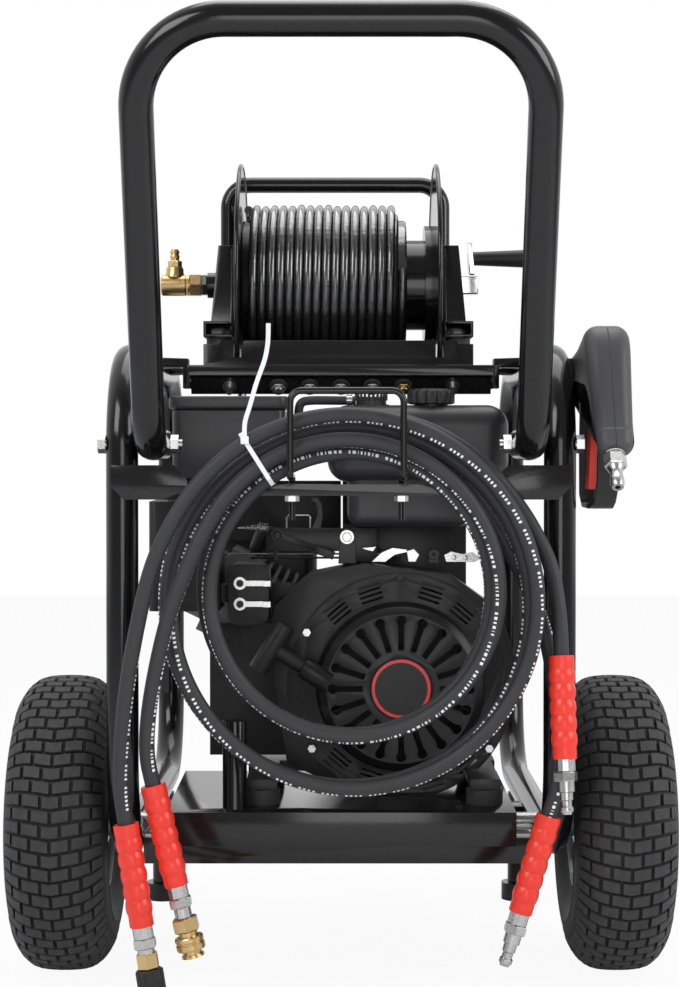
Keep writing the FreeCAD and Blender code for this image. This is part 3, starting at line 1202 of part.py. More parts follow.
panel_half = sw - d.sheet - d.weld_gap
panel = bind(new("Part::Box", "panel"), Length=2 * panel_half, Width=d.sheet, Height=d.panel_height)
low_corner = on_panel(-panel_half, 0, d.panel_height)
place(panel, *low_corner, panel_turn)
holes = [panel_rod(first_nozzle + index * d.nozzle_pitch, 10.5, -6, d.grommet_radius - 2, 14)
         for index in range(count)]
node("nozzle_panel", cut(panel, *holes))
grommets, nozzles = [], []
for index in range(count):
    across = first_nozzle + index * d.nozzle_pitch
    flange = panel_rod(across, 10.5, d.weld_gap, d.grommet_radius, d.grommet_wall)
    neck = panel_rod(across, 10.5, -d.sheet - 1, d.grommet_radius - 2.3, 8)
    bore = panel_rod(across, 10.5, -12, d.nozzle_radius + d.seat_gap, 30)
    grommets.append(cut(fuse(flange, neck), bore))
    stem = panel_rod(across, 10.5, -14, d.nozzle_radius, d.nozzle_length)
    collar = panel_rod(across, 10.5, d.grommet_wall + 1, d.nozzle_radius + 1.5, 6)
    nozzles.append(fuse(stem, collar))
node("nozzle_grommets", group(*grommets))
node("jet_nozzles", group(*nozzles))
for side in (-1, 1):
    across = side * (panel_half - 44)
    fasteners.append(fuse(panel_rod(across, 11, d.weld_gap, 8, 3), panel_rod(across, 11, 1, 4, 12)))

# Gun holder on the right loop and the spray gun in it
gun_outline = [(0, 76), (12, 66), (40, 90), (56, 64), (66, 12), (128, 12), (140, 24), (128, 110),
               (150, 132), (300, 140), (300, 176), (120, 190), (70, 206), (46, 196), (34, 172)]
gun_low_z = d.gun_body_z - 145
gun_rear_y = d.loop_rear_y - 62
gun = plate(gun_outline, 2 * d.gun_half_width, gun_left, gun_rear_y, gun_low_z, YZ_OUTLINE)
window = plate([(0, 0), (44, 0), (34, 76), (0, 66)], 2 * d.gun_half_width + 4, gun_left - 2,
               gun_rear_y + 74, gun_low_z + 22, YZ_OUTLINE)
slot_mid = span(gun_left + 12, gun_left + 2 * d.gun_half_width - 12, gun_rear_y + 60,
                gun_rear_y + 126, gun_low_z + 24, gun_low_z + 130)
gun_trimmed = cut(gun, window, slot_mid)
barrel_end = rod("Y", d.gun_x, gun_rear_y + 299, gun_low_z + 158, 9, 46)
trigger_pin = rod("X", gun_left + 4, gun_rear_y + 107, gun_low_z + 118, 3,
                  2 * d.gun_half_width - 8)
node("gun_body", fuse(gun_trimmed, barrel_end, trigger_pin))
trigger_x = gun_left + 13
trigger_y = gun_rear_y + 92
trigger_pivot = (trigger_y + 15, gun_low_z + 118)
trigger_outline = [(0, 0), (10, 2), (16, 40), (22, 88), (8, 92), (4, 44)]
trigger = plate(trigger_outline, 2 * d.gun_half_width - 26, trigger_x, trigger_y,
                gun_low_z + 32, YZ_OUTLINE)
node("gun_trigger", cut(trigger, rod("X", trigger_x - 1, *trigger_pivot, 3 + d.running_gap, 30)))
nipple_way = vector(0, -0.64, -0.768).normalize()
nipple_start = vector(float(d.gun_x), float(gun_rear_y) + 6, float(gun_low_z) + 71)


def on_nipple(reach):
    """Point along the gun's inlet."""
    spot = nipple_start + nipple_way * reach
    return spot.x, spot.y, spot.z


node("gun_inlet", fuse(tube_between(on_nipple(0.15), on_nipple(20), 9.5),
                       tube_between(on_nipple(19), on_nipple(46), 7)))

# Connector hoses: two loose coils side by side on the hook
coil_drift = d.coil_pitch * (d.coil_end - d.coil_start) / 360
coil_front_y = bar_face - d.hose_diameter / 2 - 3.5 - coil_drift
hose_width = float(d.hose_diameter)


def coil_curve(centre_z, radius):
    """Coil that is widest at its ends and drifts from the rear to the crossbar."""
    first = math.radians(float(d.coil_start))
    last = math.radians(float(d.coil_end))
    middle, half = (first + last) / 2, (last - first) / 2

    def curve(angle):
        u = (angle - middle) / half
        reach = float(radius) + float(d.coil_flare) * u * u
        x = float(d.coil_x) - reach * math.cos(angle)
        z = float(centre_z) + reach * math.sin(angle)
        y = float(coil_front_y) + float(coil_drift) * (u + 1) / 2
        return vector(x, y, z)
    return curve, first, last


coil_ends = {}
coil_ways = {}
for name, centre_z, radius in (("outer_hose_coil", d.front_coil_z, d.front_radius),
                               ("inner_hose_coil", d.rear_coil_z, d.rear_radius)):
    curve, first, last = coil_curve(centre_z, radius)
    coil_wire = wound_wire(curve, first, last, math.pi / 2, hose_width)
    least_gap(name, curve, first, last, hose_width)
    print(name, "length", round(coil_wire.Length, 1))
    node(name, shaped(sweep_round(coil_wire, hose_width / 2)))
    edges = coil_wire.OrderedEdges
    coil_ends[name] = (edges[0].valueAt(edges[0].FirstParameter),
                       edges[-1].valueAt(edges[-1].LastParameter))
    coil_ways[name] = (edges[0].tangentAt(edges[0].FirstParameter) * -1,
                       edges[-1].tangentAt(edges[-1].LastParameter))

# Free ends of the hoses: points chosen by hand, from the coil down to each boot
front_y = float(coil_front_y)
back_y = front_y + float(coil_drift)
tail_routes = {
    "outer_left": [(-196, front_y, 458), (-207, front_y - 3, 408), (-217, front_y - 7, 352),
                   (-223, front_y - 10, 296), (-224.7, front_y - 10, 240), (-219, front_y - 10, 204)],
    "outer_right": [(207.5, back_y - 0.1, 489), (219.5, back_y - 5, 460), (226, back_y - 16.5, 412),
                    (227, back_y - 22, 372)],
    "inner_left": [(-158, front_y, 462), (-176, front_y - 1, 416), (-188, front_y - 1, 366),
                   (-197, front_y, 315), (-199, front_y, 272), (-192, front_y, 242)],
    "inner_right": [(171, back_y + 0.5, 487), (191, back_y + 1.5, 450), (210, back_y + 2, 405),
                    (221, back_y + 1, 355), (227, back_y, 298), (228, back_y - 1, 240),
                    (217, back_y - 1, 203)],
}
coil_of = {"outer": "outer_hose_coil", "inner": "inner_hose_coil"}
tails = []
tail_ends = {}
for name, route in tail_routes.items():
    hose, side = name.split("_")
    start = coil_ends[coil_of[hose]][0 if side == "left" else 1]
    other = coil_ways[coil_of[hose]][0 if side == "left" else 1]
    route_points = [start + other * 0.15, start + other * 8] + points_of(route)
    tails.append(shaped(free_tube(name, route_points, hose_width)))
    tail_ends[name] = (route_points[-1], (route_points[-1] - route_points[-2]).normalize())
node("hose_tails", group(*tails))


def on_end(name, reach):
    """Point beyond the end of a hose."""
    spot, way = tail_ends[name]
    return spot + way * reach


def end_rotation(name):
    """Turn from Z to the way that a hose end points."""
    return FreeCAD.Rotation(vector(0, 0, 1), tail_ends[name][1])


def end_rod(name, reach, radius, length):
    """Round bar in line with a hose end."""
    spot = on_end(name, reach)
    bar = bind(new("Part::Cylinder", "bar"), Radius=radius, Height=length)
    return place(bar, spot.x, spot.y, spot.z, end_rotation(name))


def end_hexagon(name, reach, across, length):
    """Hexagonal bar in line with a hose end."""
    spot = on_end(name, reach)
    bar = new("Part::Prism", "hexagon")
    bar.Polygon = 6
    bind(bar, Circumradius=as_size(across) / math.sqrt(3), Height=length)
    return place(bar, spot.x, spot.y, spot.z, end_rotation(name))


boots = []
boot = d.boot_length
bulges = 5
step = (boot - 10) / bulges
for name in tail_routes:
    outline = [(0, 0), (d.boot_radius - 2.5, 0), (d.boot_radius - 2.5, 3)]
    for index in range(bulges):
        low = 5 + step * index
        outline += [(d.boot_radius, low + step * 0.3), (d.boot_radius, low + step * 0.7),
                    (d.boot_radius - 2.2, low + step)]
    outline += [(d.boot_radius - 1, boot), (0, boot)]
    spot = on_end(name, 0)
    boots.append(turned(outline, spot.x, spot.y, spot.z, end_rotation(name)))
node("hose_boots", group(*boots))

fittings = []
for name in tail_routes:
    sleeve = end_rod(name, boot, 10.5, 9)
    hex_piece = end_hexagon(name, boot + 8.5, 22, 26)
    fittings.append(fuse(sleeve, hex_piece))
fitting_end = boot + 34.5
nipples = [end_rod("outer_right", fitting_end, 7, 22), end_rod("inner_right", fitting_end, 7, 24)]
fittings += nipples

# Brass coupler with its sprung sleeve, and the screw nut of the other hose
coupler = fuse(end_rod("inner_left", fitting_end - 1, 12.5, 15),
               end_rod("inner_left", fitting_end + 13, 10, 28),
               end_rod("inner_left", fitting_end + 38, 12, 3))
fittings.append(coupler)
sleeve_bore = end_rod("inner_left", fitting_end + 15, 10 + d.running_gap, 26)
node("coupler_sleeve", cut(end_rod("inner_left", fitting_end + 18.5, 15, 15), sleeve_bore))
swivel_stem = fuse(end_rod("outer_left", fitting_end, 9, 9),
                   end_rod("outer_left", fitting_end + 8, 7, 26))
fittings.append(swivel_stem)
node("hose_fittings", group(*fittings))
nut_bore = end_rod("outer_left", fitting_end + 8, 7 + d.running_gap, 30)
node("swivel_nut", cut(end_rod("outer_left", fitting_end + 10, 14.5, 26), nut_bore))

# Cable tie round both coils, with its long tail
tie_angle = 57.7
tie_turn = FreeCAD.Rotation(vector(0, 1, 0), tie_angle)
tie_fit = hose_width / 2 + float(d.seat_gap)


def along_coil(angle):
    """Place along a coil at an angle in degrees, from -1 to 1."""
    return (2 * angle - float(d.coil_start) - float(d.coil_end)) / float(d.coil_end - d.coil_start)


first_pass, last_pass = along_coil(tie_angle), along_coil(tie_angle + 720)
coil_step = float(d.rear_coil_z - d.front_coil_z) * math.sin(math.radians(tie_angle))
tie_near = float(d.rear_radius) + coil_step - tie_fit
tie_far = float(d.front_radius) + float(d.coil_flare) * first_pass ** 2 + tie_fit
tie_front = front_y + float(coil_drift) * (first_pass + 1) / 2 - tie_fit
tie_back = front_y + float(coil_drift) * (last_pass + 1) / 2 + tie_fit


def tie_block(near, far, front, back, width):
    """Block across the coils at the tie."""
    base = tie_turn.multVec(vector(-far, 0, -width / 2))
    piece = box(0, 0, 0, far - near, back - front, width)
    return place(piece, float(d.coil_x) + base.x, front, float(d.front_coil_z) + base.z, tie_turn)


strap = cut(tie_block(tie_near - 1.4, tie_far + 1.4, tie_front - 1.4, tie_back + 1.4, float(d.tie_width)),
            tie_block(tie_near, tie_far, tie_front, tie_back, float(d.tie_width) + 2))
head_reach = tie_far - 8
tie_head = tie_block(head_reach - 4, head_reach + 5, tie_front - 6, tie_front - 1, 9)
head_spot = tie_turn.multVec(vector(-head_reach, 0, 0))
head_x, head_z = float(d.coil_x) + head_spot.x, float(d.front_coil_z) + head_spot.z
tail_line = [(0, 0), (4, 24), (19, 76), (25, 102), (28, 125)]
tail_outline = tail_line + [(x + 2.2, z) for x, z in reversed(tail_line)]
tie_tail = plate(tail_outline, 4.6, head_x + 1, tie_front - 1, head_z - 4, TO_MINUS_Y)
node("cable_tie", fuse(strap, tie_head, tie_tail))

node("zinc_fasteners", group(*fasteners))

# Check every object, then write each sub-part
doc.recompute()
failed = [f"{thing.Label} at {thing.Placement.Base}" for thing in doc.Objects
          if "Invalid" in thing.State or "Error" in thing.State]
if failed:
    raise RuntimeError("these did not build: " + "; ".join(failed))
for name, piece in nodes.items():
    shape = piece.Shape
    if shape.isNull() or not shape.isValid() or not shape.Solids:
        raise RuntimeError(f"{name} is not a valid solid")
    shape.exportStep(f"parts/{name}.step")
    centre = shape.BoundBox
    print(f"{name}: {len(shape.Solids)} solids, {shape.Volume / 1000:.1f} cm3, "
          f"x {centre.XMin:.0f} {centre.XMax:.0f} y {centre.YMin:.0f} {centre.YMax:.0f} "
          f"z {centre.ZMin:.0f} {centre.ZMax:.0f}")
print(len(nodes), "nodes")
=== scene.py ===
"""Visual model of an engine driven drain jetter on a tube frame cart."""
from __future__ import annotations

import json
import logging
import math
from dataclasses import dataclass
from enum import Enum

import bmesh
import bpy
from mathutils import Matrix, Vector

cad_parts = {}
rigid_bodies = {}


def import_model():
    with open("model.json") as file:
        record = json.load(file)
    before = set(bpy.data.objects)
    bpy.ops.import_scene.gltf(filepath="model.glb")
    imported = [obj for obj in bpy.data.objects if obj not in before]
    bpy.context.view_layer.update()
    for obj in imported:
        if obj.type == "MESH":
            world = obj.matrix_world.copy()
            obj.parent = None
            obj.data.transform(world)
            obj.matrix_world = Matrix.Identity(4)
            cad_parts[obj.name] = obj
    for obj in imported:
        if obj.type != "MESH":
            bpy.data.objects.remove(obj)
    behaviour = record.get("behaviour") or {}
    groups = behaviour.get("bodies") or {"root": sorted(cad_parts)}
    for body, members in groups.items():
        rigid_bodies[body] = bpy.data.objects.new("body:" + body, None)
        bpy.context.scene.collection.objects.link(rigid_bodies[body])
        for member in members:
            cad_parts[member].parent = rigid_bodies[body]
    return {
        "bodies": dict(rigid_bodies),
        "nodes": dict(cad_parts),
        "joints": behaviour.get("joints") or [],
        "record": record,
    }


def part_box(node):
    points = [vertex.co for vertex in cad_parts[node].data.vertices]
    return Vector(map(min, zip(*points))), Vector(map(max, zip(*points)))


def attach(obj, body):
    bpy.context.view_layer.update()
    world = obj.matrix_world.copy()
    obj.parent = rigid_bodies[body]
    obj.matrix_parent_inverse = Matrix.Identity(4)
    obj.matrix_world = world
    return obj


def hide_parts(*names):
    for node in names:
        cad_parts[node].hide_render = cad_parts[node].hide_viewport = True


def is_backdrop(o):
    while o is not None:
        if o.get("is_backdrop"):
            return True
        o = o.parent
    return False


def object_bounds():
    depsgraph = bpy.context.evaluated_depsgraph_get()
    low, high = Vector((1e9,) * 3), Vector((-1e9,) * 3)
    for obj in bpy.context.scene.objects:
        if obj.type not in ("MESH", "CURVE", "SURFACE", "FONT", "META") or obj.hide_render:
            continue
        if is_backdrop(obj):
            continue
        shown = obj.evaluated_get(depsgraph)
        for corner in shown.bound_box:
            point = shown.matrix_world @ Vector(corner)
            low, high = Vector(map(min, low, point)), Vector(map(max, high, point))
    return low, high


LOG = logging.getLogger("drain_jetter")
Point = tuple[float, float, float]
Colour = tuple[float, float, float]


class Body(Enum):
    """Moving bodies that pieces ride on."""

    FRAME = "frame"
    LEFT_WHEEL = "left_wheel"
    RIGHT_WHEEL = "right_wheel"
    REEL = "reel"
    STARTER_GRIP = "starter_grip"
    THROTTLE = "throttle_lever"
    FUEL_CAP = "fuel_cap"
    TRIGGER = "gun_trigger"
    SWIVEL_NUT = "swivel_nut"
    COUPLER = "coupler_sleeve"


class Group(Enum):
    """Node groups that several materials share."""

    GRAIN = "surface grain"
    TONE = "tone shift"
    WEAR = "edge wear"
    DUST = "settled dust"


def add_node(tree: bpy.types.NodeTree, kind: str, **values: object) -> bpy.types.Node:
    """Add a node and set its sockets or properties by name.

    Args:
        tree: Tree that takes the node.
        kind: Blender's type name of the node.
        values: Socket names with underscores for spaces, or properties.

    Returns:
        The new node.
    """
    node = tree.nodes.new(kind)
    for name, value in values.items():
        socket = node.inputs.get(name.replace("_", " "))
        if socket is not None:
            socket.default_value = value
        else:
            setattr(node, name, value)
    return node


class GroupShop:
    """Builds each shared node group once."""

    def __init__(self) -> None:
        """Start with no groups made."""
        self.made: dict[Group, bpy.types.NodeTree] = {}

    def get(self, group: Group) -> bpy.types.NodeTree:
        """Give a group, building it at first use.

        Args:
            group: Which of the shared effects is wanted.

        Returns:
            The node tree of that effect.
        """
        if group not in self.made:
            maker = {
                Group.GRAIN: self.make_grain,
                Group.TONE: self.make_tone,
                Group.WEAR: self.make_wear,
                Group.DUST: self.make_dust,
            }[group]
            self.made[group] = maker(self.empty(group))
        return self.made[group]

    @staticmethod
    def empty(group: Group) -> bpy.types.NodeTree:
        """Make a tree with its two end nodes."""
        tree = bpy.data.node_groups.new(group.value, "ShaderNodeTree")
        tree.nodes.new("NodeGroupInput").name = "entry"
        tree.nodes.new("NodeGroupOutput").name = "exit"
        return tree

    @staticmethod
    def sockets(tree: bpy.types.NodeTree, inputs: dict[str, object], outputs: dict[str, str]) -> None:
        """Name the inputs, with their first values, and the outputs.

        Args:
            tree: Group to complete.
            inputs: Socket name to its default value.
            outputs: Socket name to its socket type.
        """
        for name, value in inputs.items():
            kind = "NodeSocketFloat" if isinstance(value, float) else "NodeSocketColor"
            socket = tree.interface.new_socket(name, in_out="INPUT", socket_type=kind)
            socket.default_value = value
        for name, kind in outputs.items():
            tree.interface.new_socket(name, in_out="OUTPUT", socket_type=kind)

    def make_grain(self, tree: bpy.types.NodeTree) -> bpy.types.NodeTree:
        """Fine mottled height, as on moulded plastic, paint and castings."""
        self.sockets(tree, {"Scale": 400.0, "Stretch": 1.0}, {"Height": "NodeSocketFloat"})
        place = add_node(tree, "ShaderNodeTexCoord")
        stretch = add_node(tree, "ShaderNodeCombineXYZ", X=1.0, Y=1.0)
        mapping = add_node(tree, "ShaderNodeMapping")
        coarse = add_node(tree, "ShaderNodeTexNoise", Detail=6.0, Roughness=0.6)
        entry, last = tree.nodes["entry"], tree.nodes["exit"]
        links = tree.links
        links.new(entry.outputs["Stretch"], stretch.inputs["Z"])
        links.new(place.outputs["Object"], mapping.inputs["Vector"])
        links.new(stretch.outputs["Vector"], mapping.inputs["Scale"])
        links.new(mapping.outputs["Vector"], coarse.inputs["Vector"])
        links.new(entry.outputs["Scale"], coarse.inputs["Scale"])
        links.new(coarse.outputs["Fac"], last.inputs["Height"])
        return tree

    def make_tone(self, tree: bpy.types.NodeTree) -> bpy.types.NodeTree:
        """Slow light and dark clouds over a colour."""
        white = (1.0, 1.0, 1.0, 1.0)
        self.sockets(tree, {"Color": white, "Scale": 9.0, "Amount": 0.15}, {"Color": "NodeSocketColor"})
        place = add_node(tree, "ShaderNodeTexCoord")
        noise = add_node(tree, "ShaderNodeTexNoise", Detail=4.0, Roughness=0.55)
        centre = add_node(tree, "ShaderNodeMath", operation="SUBTRACT")
        centre.inputs[1].default_value = 0.5
        spread = add_node(tree, "ShaderNodeMath", operation="MULTIPLY_ADD")
        spread.inputs[2].default_value = 1.0
        shade = add_node(tree, "ShaderNodeVectorMath", operation="SCALE")
        entry, last = tree.nodes["entry"], tree.nodes["exit"]
        links = tree.links
        links.new(place.outputs["Object"], noise.inputs["Vector"])
        links.new(entry.outputs["Scale"], noise.inputs["Scale"])
        links.new(noise.outputs["Fac"], centre.inputs[0])
        links.new(centre.outputs[0], spread.inputs[0])
        links.new(entry.outputs["Amount"], spread.inputs[1])
        links.new(entry.outputs["Color"], shade.inputs[0])
        links.new(spread.outputs[0], shade.inputs["Scale"])
        links.new(shade.outputs[0], last.inputs["Color"])
        return tree

    def make_wear(self, tree: bpy.types.NodeTree) -> bpy.types.NodeTree:
        """Paler colour where an edge has been rubbed."""
        white = (1.0, 1.0, 1.0, 1.0)
        self.sockets(tree, {"Color": white, "Worn": white, "Amount": 0.3}, {"Color": "NodeSocketColor"})
        shape = add_node(tree, "ShaderNodeNewGeometry")
        edge = add_node(tree, "ShaderNodeMapRange", From_Min=0.52, From_Max=0.62)
        patchy = add_node(tree, "ShaderNodeTexNoise", Scale=160.0, Detail=3.0)
        rub = add_node(tree, "ShaderNodeMath", operation="MULTIPLY")
        keep = add_node(tree, "ShaderNodeMath", operation="MULTIPLY")
        mix = add_node(tree, "ShaderNodeMix", data_type="RGBA")
        place = add_node(tree, "ShaderNodeTexCoord")
        entry, last = tree.nodes["entry"], tree.nodes["exit"]
        links = tree.links
        links.new(shape.outputs["Pointiness"], edge.inputs["Value"])
        links.new(place.outputs["Object"], patchy.inputs["Vector"])
        links.new(edge.outputs["Result"], rub.inputs[0])
        links.new(patchy.outputs["Fac"], rub.inputs[1])
        links.new(rub.outputs[0], keep.inputs[0])
        links.new(entry.outputs["Amount"], keep.inputs[1])
        links.new(keep.outputs[0], mix.inputs["Factor"])
        links.new(entry.outputs["Color"], mix.inputs["A"])
        links.new(entry.outputs["Worn"], mix.inputs["B"])
        links.new(mix.outputs["Result"], last.inputs["Color"])
        return tree

    def make_dust(self, tree: bpy.types.NodeTree) -> bpy.types.NodeTree:
        """Thin pale film on surfaces that look up."""
        white = (1.0, 1.0, 1.0, 1.0)
        self.sockets(tree, {"Color": white, "Amount": 0.05}, {"Color": "NodeSocketColor"})
        shape = add_node(tree, "ShaderNodeNewGeometry")
        parts = add_node(tree, "ShaderNodeSeparateXYZ")
        upward = add_node(tree, "ShaderNodeMapRange", From_Min=0.3, From_Max=1.0)
        patchy = add_node(tree, "ShaderNodeTexNoise", Scale=25.0, Detail=5.0)
        film = add_node(tree, "ShaderNodeMath", operation="MULTIPLY")
        keep = add_node(tree, "ShaderNodeMath", operation="MULTIPLY")
        mix = add_node(tree, "ShaderNodeMix", data_type="RGBA")
        mix.inputs["B"].default_value = (0.42, 0.4, 0.37, 1.0)
        entry, last = tree.nodes["entry"], tree.nodes["exit"]
        links = tree.links
        links.new(shape.outputs["Normal"], parts.inputs["Vector"])
        links.new(parts.outputs["Z"], upward.inputs["Value"])
        links.new(upward.outputs["Result"], film.inputs[0])
        links.new(patchy.outputs["Fac"], film.inputs[1])
        links.new(film.outputs[0], keep.inputs[0])
        links.new(entry.outputs["Amount"], keep.inputs[1])
        links.new(keep.outputs[0], mix.inputs["Factor"])
        links.new(entry.outputs["Color"], mix.inputs["A"])
        links.new(mix.outputs["Result"], last.inputs["Color"])
        return tree


@dataclass(frozen=True)
class Finish:
    """One surface finish, built from the shared groups and a Principled BSDF."""

    name: str
    colour: Colour
    roughness: float
    metallic: float = 0.0
    specular: float = 0.5
    coat: float = 0.0
    grain_scale: float = 500.0
    grain_stretch: float = 1.0
    grain_depth: float = 0.05
    tone: float = 0.12
    tone_scale: float = 9.0
    worn: Colour = (0.3, 0.3, 0.3)
    wear: float = 0.15
    dust: float = 0.03

    def build(self, shop: GroupShop) -> bpy.types.Material:
        """Make the material.

        Args:
            shop: Source of the shared node groups.

        Returns:
            The finished material.
        """
        material = bpy.data.materials.new(self.name)
        material.use_nodes = True
        tree = material.node_tree
        shader = tree.nodes["Principled BSDF"]
        shader.inputs["Metallic"].default_value = self.metallic
        shader.inputs["Specular IOR Level"].default_value = self.specular
        shader.inputs["Coat Weight"].default_value = self.coat
        shader.inputs["Coat Roughness"].default_value = 0.08
        tone = self.use(tree, shop, Group.TONE, Scale=self.tone_scale, Amount=self.tone)
        tone.inputs["Color"].default_value = (*self.colour, 1.0)
        wear = self.use(tree, shop, Group.WEAR, Amount=self.wear)
        wear.inputs["Worn"].default_value = (*self.worn, 1.0)
        dust = self.use(tree, shop, Group.DUST, Amount=self.dust)
        grain = self.use(tree, shop, Group.GRAIN, Scale=self.grain_scale, Stretch=self.grain_stretch)
        rough = add_node(tree, "ShaderNodeMapRange", To_Min=self.roughness * 0.75,
                         To_Max=min(1.0, self.roughness * 1.25))
        bump = add_node(tree, "ShaderNodeBump", Strength=self.grain_depth, Distance=0.001)
        links = tree.links
        links.new(tone.outputs["Color"], wear.inputs["Color"])
        links.new(wear.outputs["Color"], dust.inputs["Color"])
        links.new(dust.outputs["Color"], shader.inputs["Base Color"])
        links.new(grain.outputs["Height"], rough.inputs["Value"])
        links.new(rough.outputs["Result"], shader.inputs["Roughness"])
        links.new(grain.outputs["Height"], bump.inputs["Height"])
        links.new(bump.outputs["Normal"], shader.inputs["Normal"])
        return material

    @staticmethod
    def use(tree: bpy.types.NodeTree, shop: GroupShop, group: Group, **values: float) -> bpy.types.Node:
        """Place a shared group with values of its own.

        Args:
            tree: Material tree that takes it.
            shop: Source of the shared node groups.
            group: Which group to place.
            values: Socket names and numbers.

        Returns:
            The group node.
        """
        node = tree.nodes.new("ShaderNodeGroup")
        node.node_tree = shop.get(group)
        for name, value in values.items():
            node.inputs[name].default_value = value
        return node


FINISHES = (
    Finish("gloss_frame_paint", (0.0045, 0.0045, 0.005), 0.15, specular=0.4, grain_scale=260,
           grain_depth=0.04, wear=0.06, dust=0.01),
    Finish("satin_engine_paint", (0.007, 0.007, 0.008), 0.36, specular=0.3, grain_scale=420,
           grain_depth=0.08, wear=0.1, dust=0.015),
    Finish("moulded_plastic", (0.013, 0.013, 0.014), 0.42, specular=0.3, grain_scale=1500,
           grain_depth=0.14, wear=0.1),
    Finish("gun_plastic", (0.055, 0.055, 0.058), 0.46, specular=0.4, grain_scale=1500, grain_depth=0.12,
           tone=0.08, wear=0.05),
    Finish("tank_plastic", (0.026, 0.026, 0.028), 0.36, specular=0.4, grain_scale=900, grain_depth=0.1,
           dust=0.05),
    Finish("hose_rubber", (0.026, 0.026, 0.029), 0.52, specular=0.35, grain_scale=900, grain_depth=0.2,
           tone=0.3, tone_scale=30, dust=0.02),
    Finish("tyre_rubber", (0.017, 0.017, 0.018), 0.6, specular=0.35, grain_scale=700, grain_depth=0.35,
           tone=0.4, tone_scale=18, worn=(0.09, 0.09, 0.09), wear=0.5, dust=0.04),
    Finish("boot_rubber", (0.74, 0.030, 0.014), 0.34, grain_scale=900, grain_depth=0.06, tone=0.15,
           worn=(0.8, 0.1, 0.06)),
    Finish("zinc_plate", (0.50, 0.50, 0.49), 0.28, metallic=1.0, grain_scale=800, grain_depth=0.1,
           tone=0.3, tone_scale=40, worn=(0.75, 0.75, 0.75)),
    Finish("chrome_plate", (0.52, 0.52, 0.53), 0.12, metallic=1.0, grain_scale=300, grain_depth=0.02),
    Finish("machined_brass", (0.62, 0.43, 0.20), 0.26, metallic=1.0, grain_scale=900, grain_stretch=6,
           grain_depth=0.12, tone=0.25, tone_scale=30, worn=(0.85, 0.68, 0.4)),
    Finish("cast_alloy", (0.22, 0.22, 0.23), 0.5, metallic=0.9, grain_scale=1100, grain_depth=0.6,
           tone=0.25, worn=(0.45, 0.45, 0.45)),
    Finish("silver_rim", (0.48, 0.49, 0.50), 0.3, metallic=0.85, grain_scale=700, grain_depth=0.1),
    Finish("dark_iron", (0.05, 0.046, 0.042), 0.55, metallic=0.6, grain_scale=900, grain_depth=0.5),
    Finish("mount_rubber", (0.018, 0.018, 0.018), 0.6, specular=0.3, grain_scale=700, grain_depth=0.2),
    Finish("wrapped_hose", (0.006, 0.006, 0.007), 0.16, specular=0.8, coat=1.0, grain_scale=42,
           grain_stretch=4, grain_depth=1.0, tone=0.4, tone_scale=60, dust=0.0),
    Finish("white_nylon", (0.78, 0.79, 0.78), 0.4, grain_scale=600, grain_depth=0.05, tone=0.05),
    Finish("white_marking", (0.74, 0.74, 0.74), 0.5, grain_scale=1200, grain_depth=0.1, tone=0.2,
           tone_scale=90, dust=0.0),
    Finish("signal_red", (0.62, 0.010, 0.012), 0.32, grain_scale=700, grain_depth=0.05),
    Finish("trigger_red", (0.72, 0.05, 0.03), 0.4, grain_scale=700, grain_depth=0.05),
)

NODE_FINISH = {
    "gloss_frame_paint": ("left_side_loop", "right_side_loop", "handle_bar", "upper_crossbar",
                          "hose_hook", "base_tray", "front_feet", "reel_shelf", "reel_stands",
                          "reel_guard_bar", "reel_drum", "nozzle_panel"),
    "satin_engine_paint": ("fan_shroud", "recoil_cover", "governor_plate", "muffler",
                           "crankcase"),
    "moulded_plastic": ("spark_plug_cap", "starter_grip", "fuel_cap", "air_canister", "carburettor",
                        "throttle_lever", "unloader_knob", "crank_grip", "recoil_badge", "gun_body",
                        "swivel_nut"),
    "tank_plastic": ("fuel_tank", "air_cleaner"),
    "hose_rubber": ("vent_hose", "hose_tails", "outer_hose_coil", "inner_hose_coil"),
    "tyre_rubber": ("left_tyre", "right_tyre"),
    "boot_rubber": ("hose_boots",),
    "zinc_plate": ("axle", "zinc_fasteners", "crankshaft", "choke_lever", "fuel_valve_lever",
                   "gun_inlet", "hose_fittings"),
    "chrome_plate": ("reel_crank",),
    "machined_brass": ("pump_manifold", "reel_swivel", "jet_nozzles", "coupler_sleeve"),
    "cast_alloy": ("cylinder", "cylinder_head", "pump_case"),
    "silver_rim": ("left_rim", "right_rim"),
    "dark_iron": ("flywheel",),
    "mount_rubber": ("rubber_mounts", "nozzle_grommets"),
    "wrapped_hose": ("reel_hose",),
    "white_nylon": ("cable_tie",),
    "signal_red": ("gun_trigger",),
}


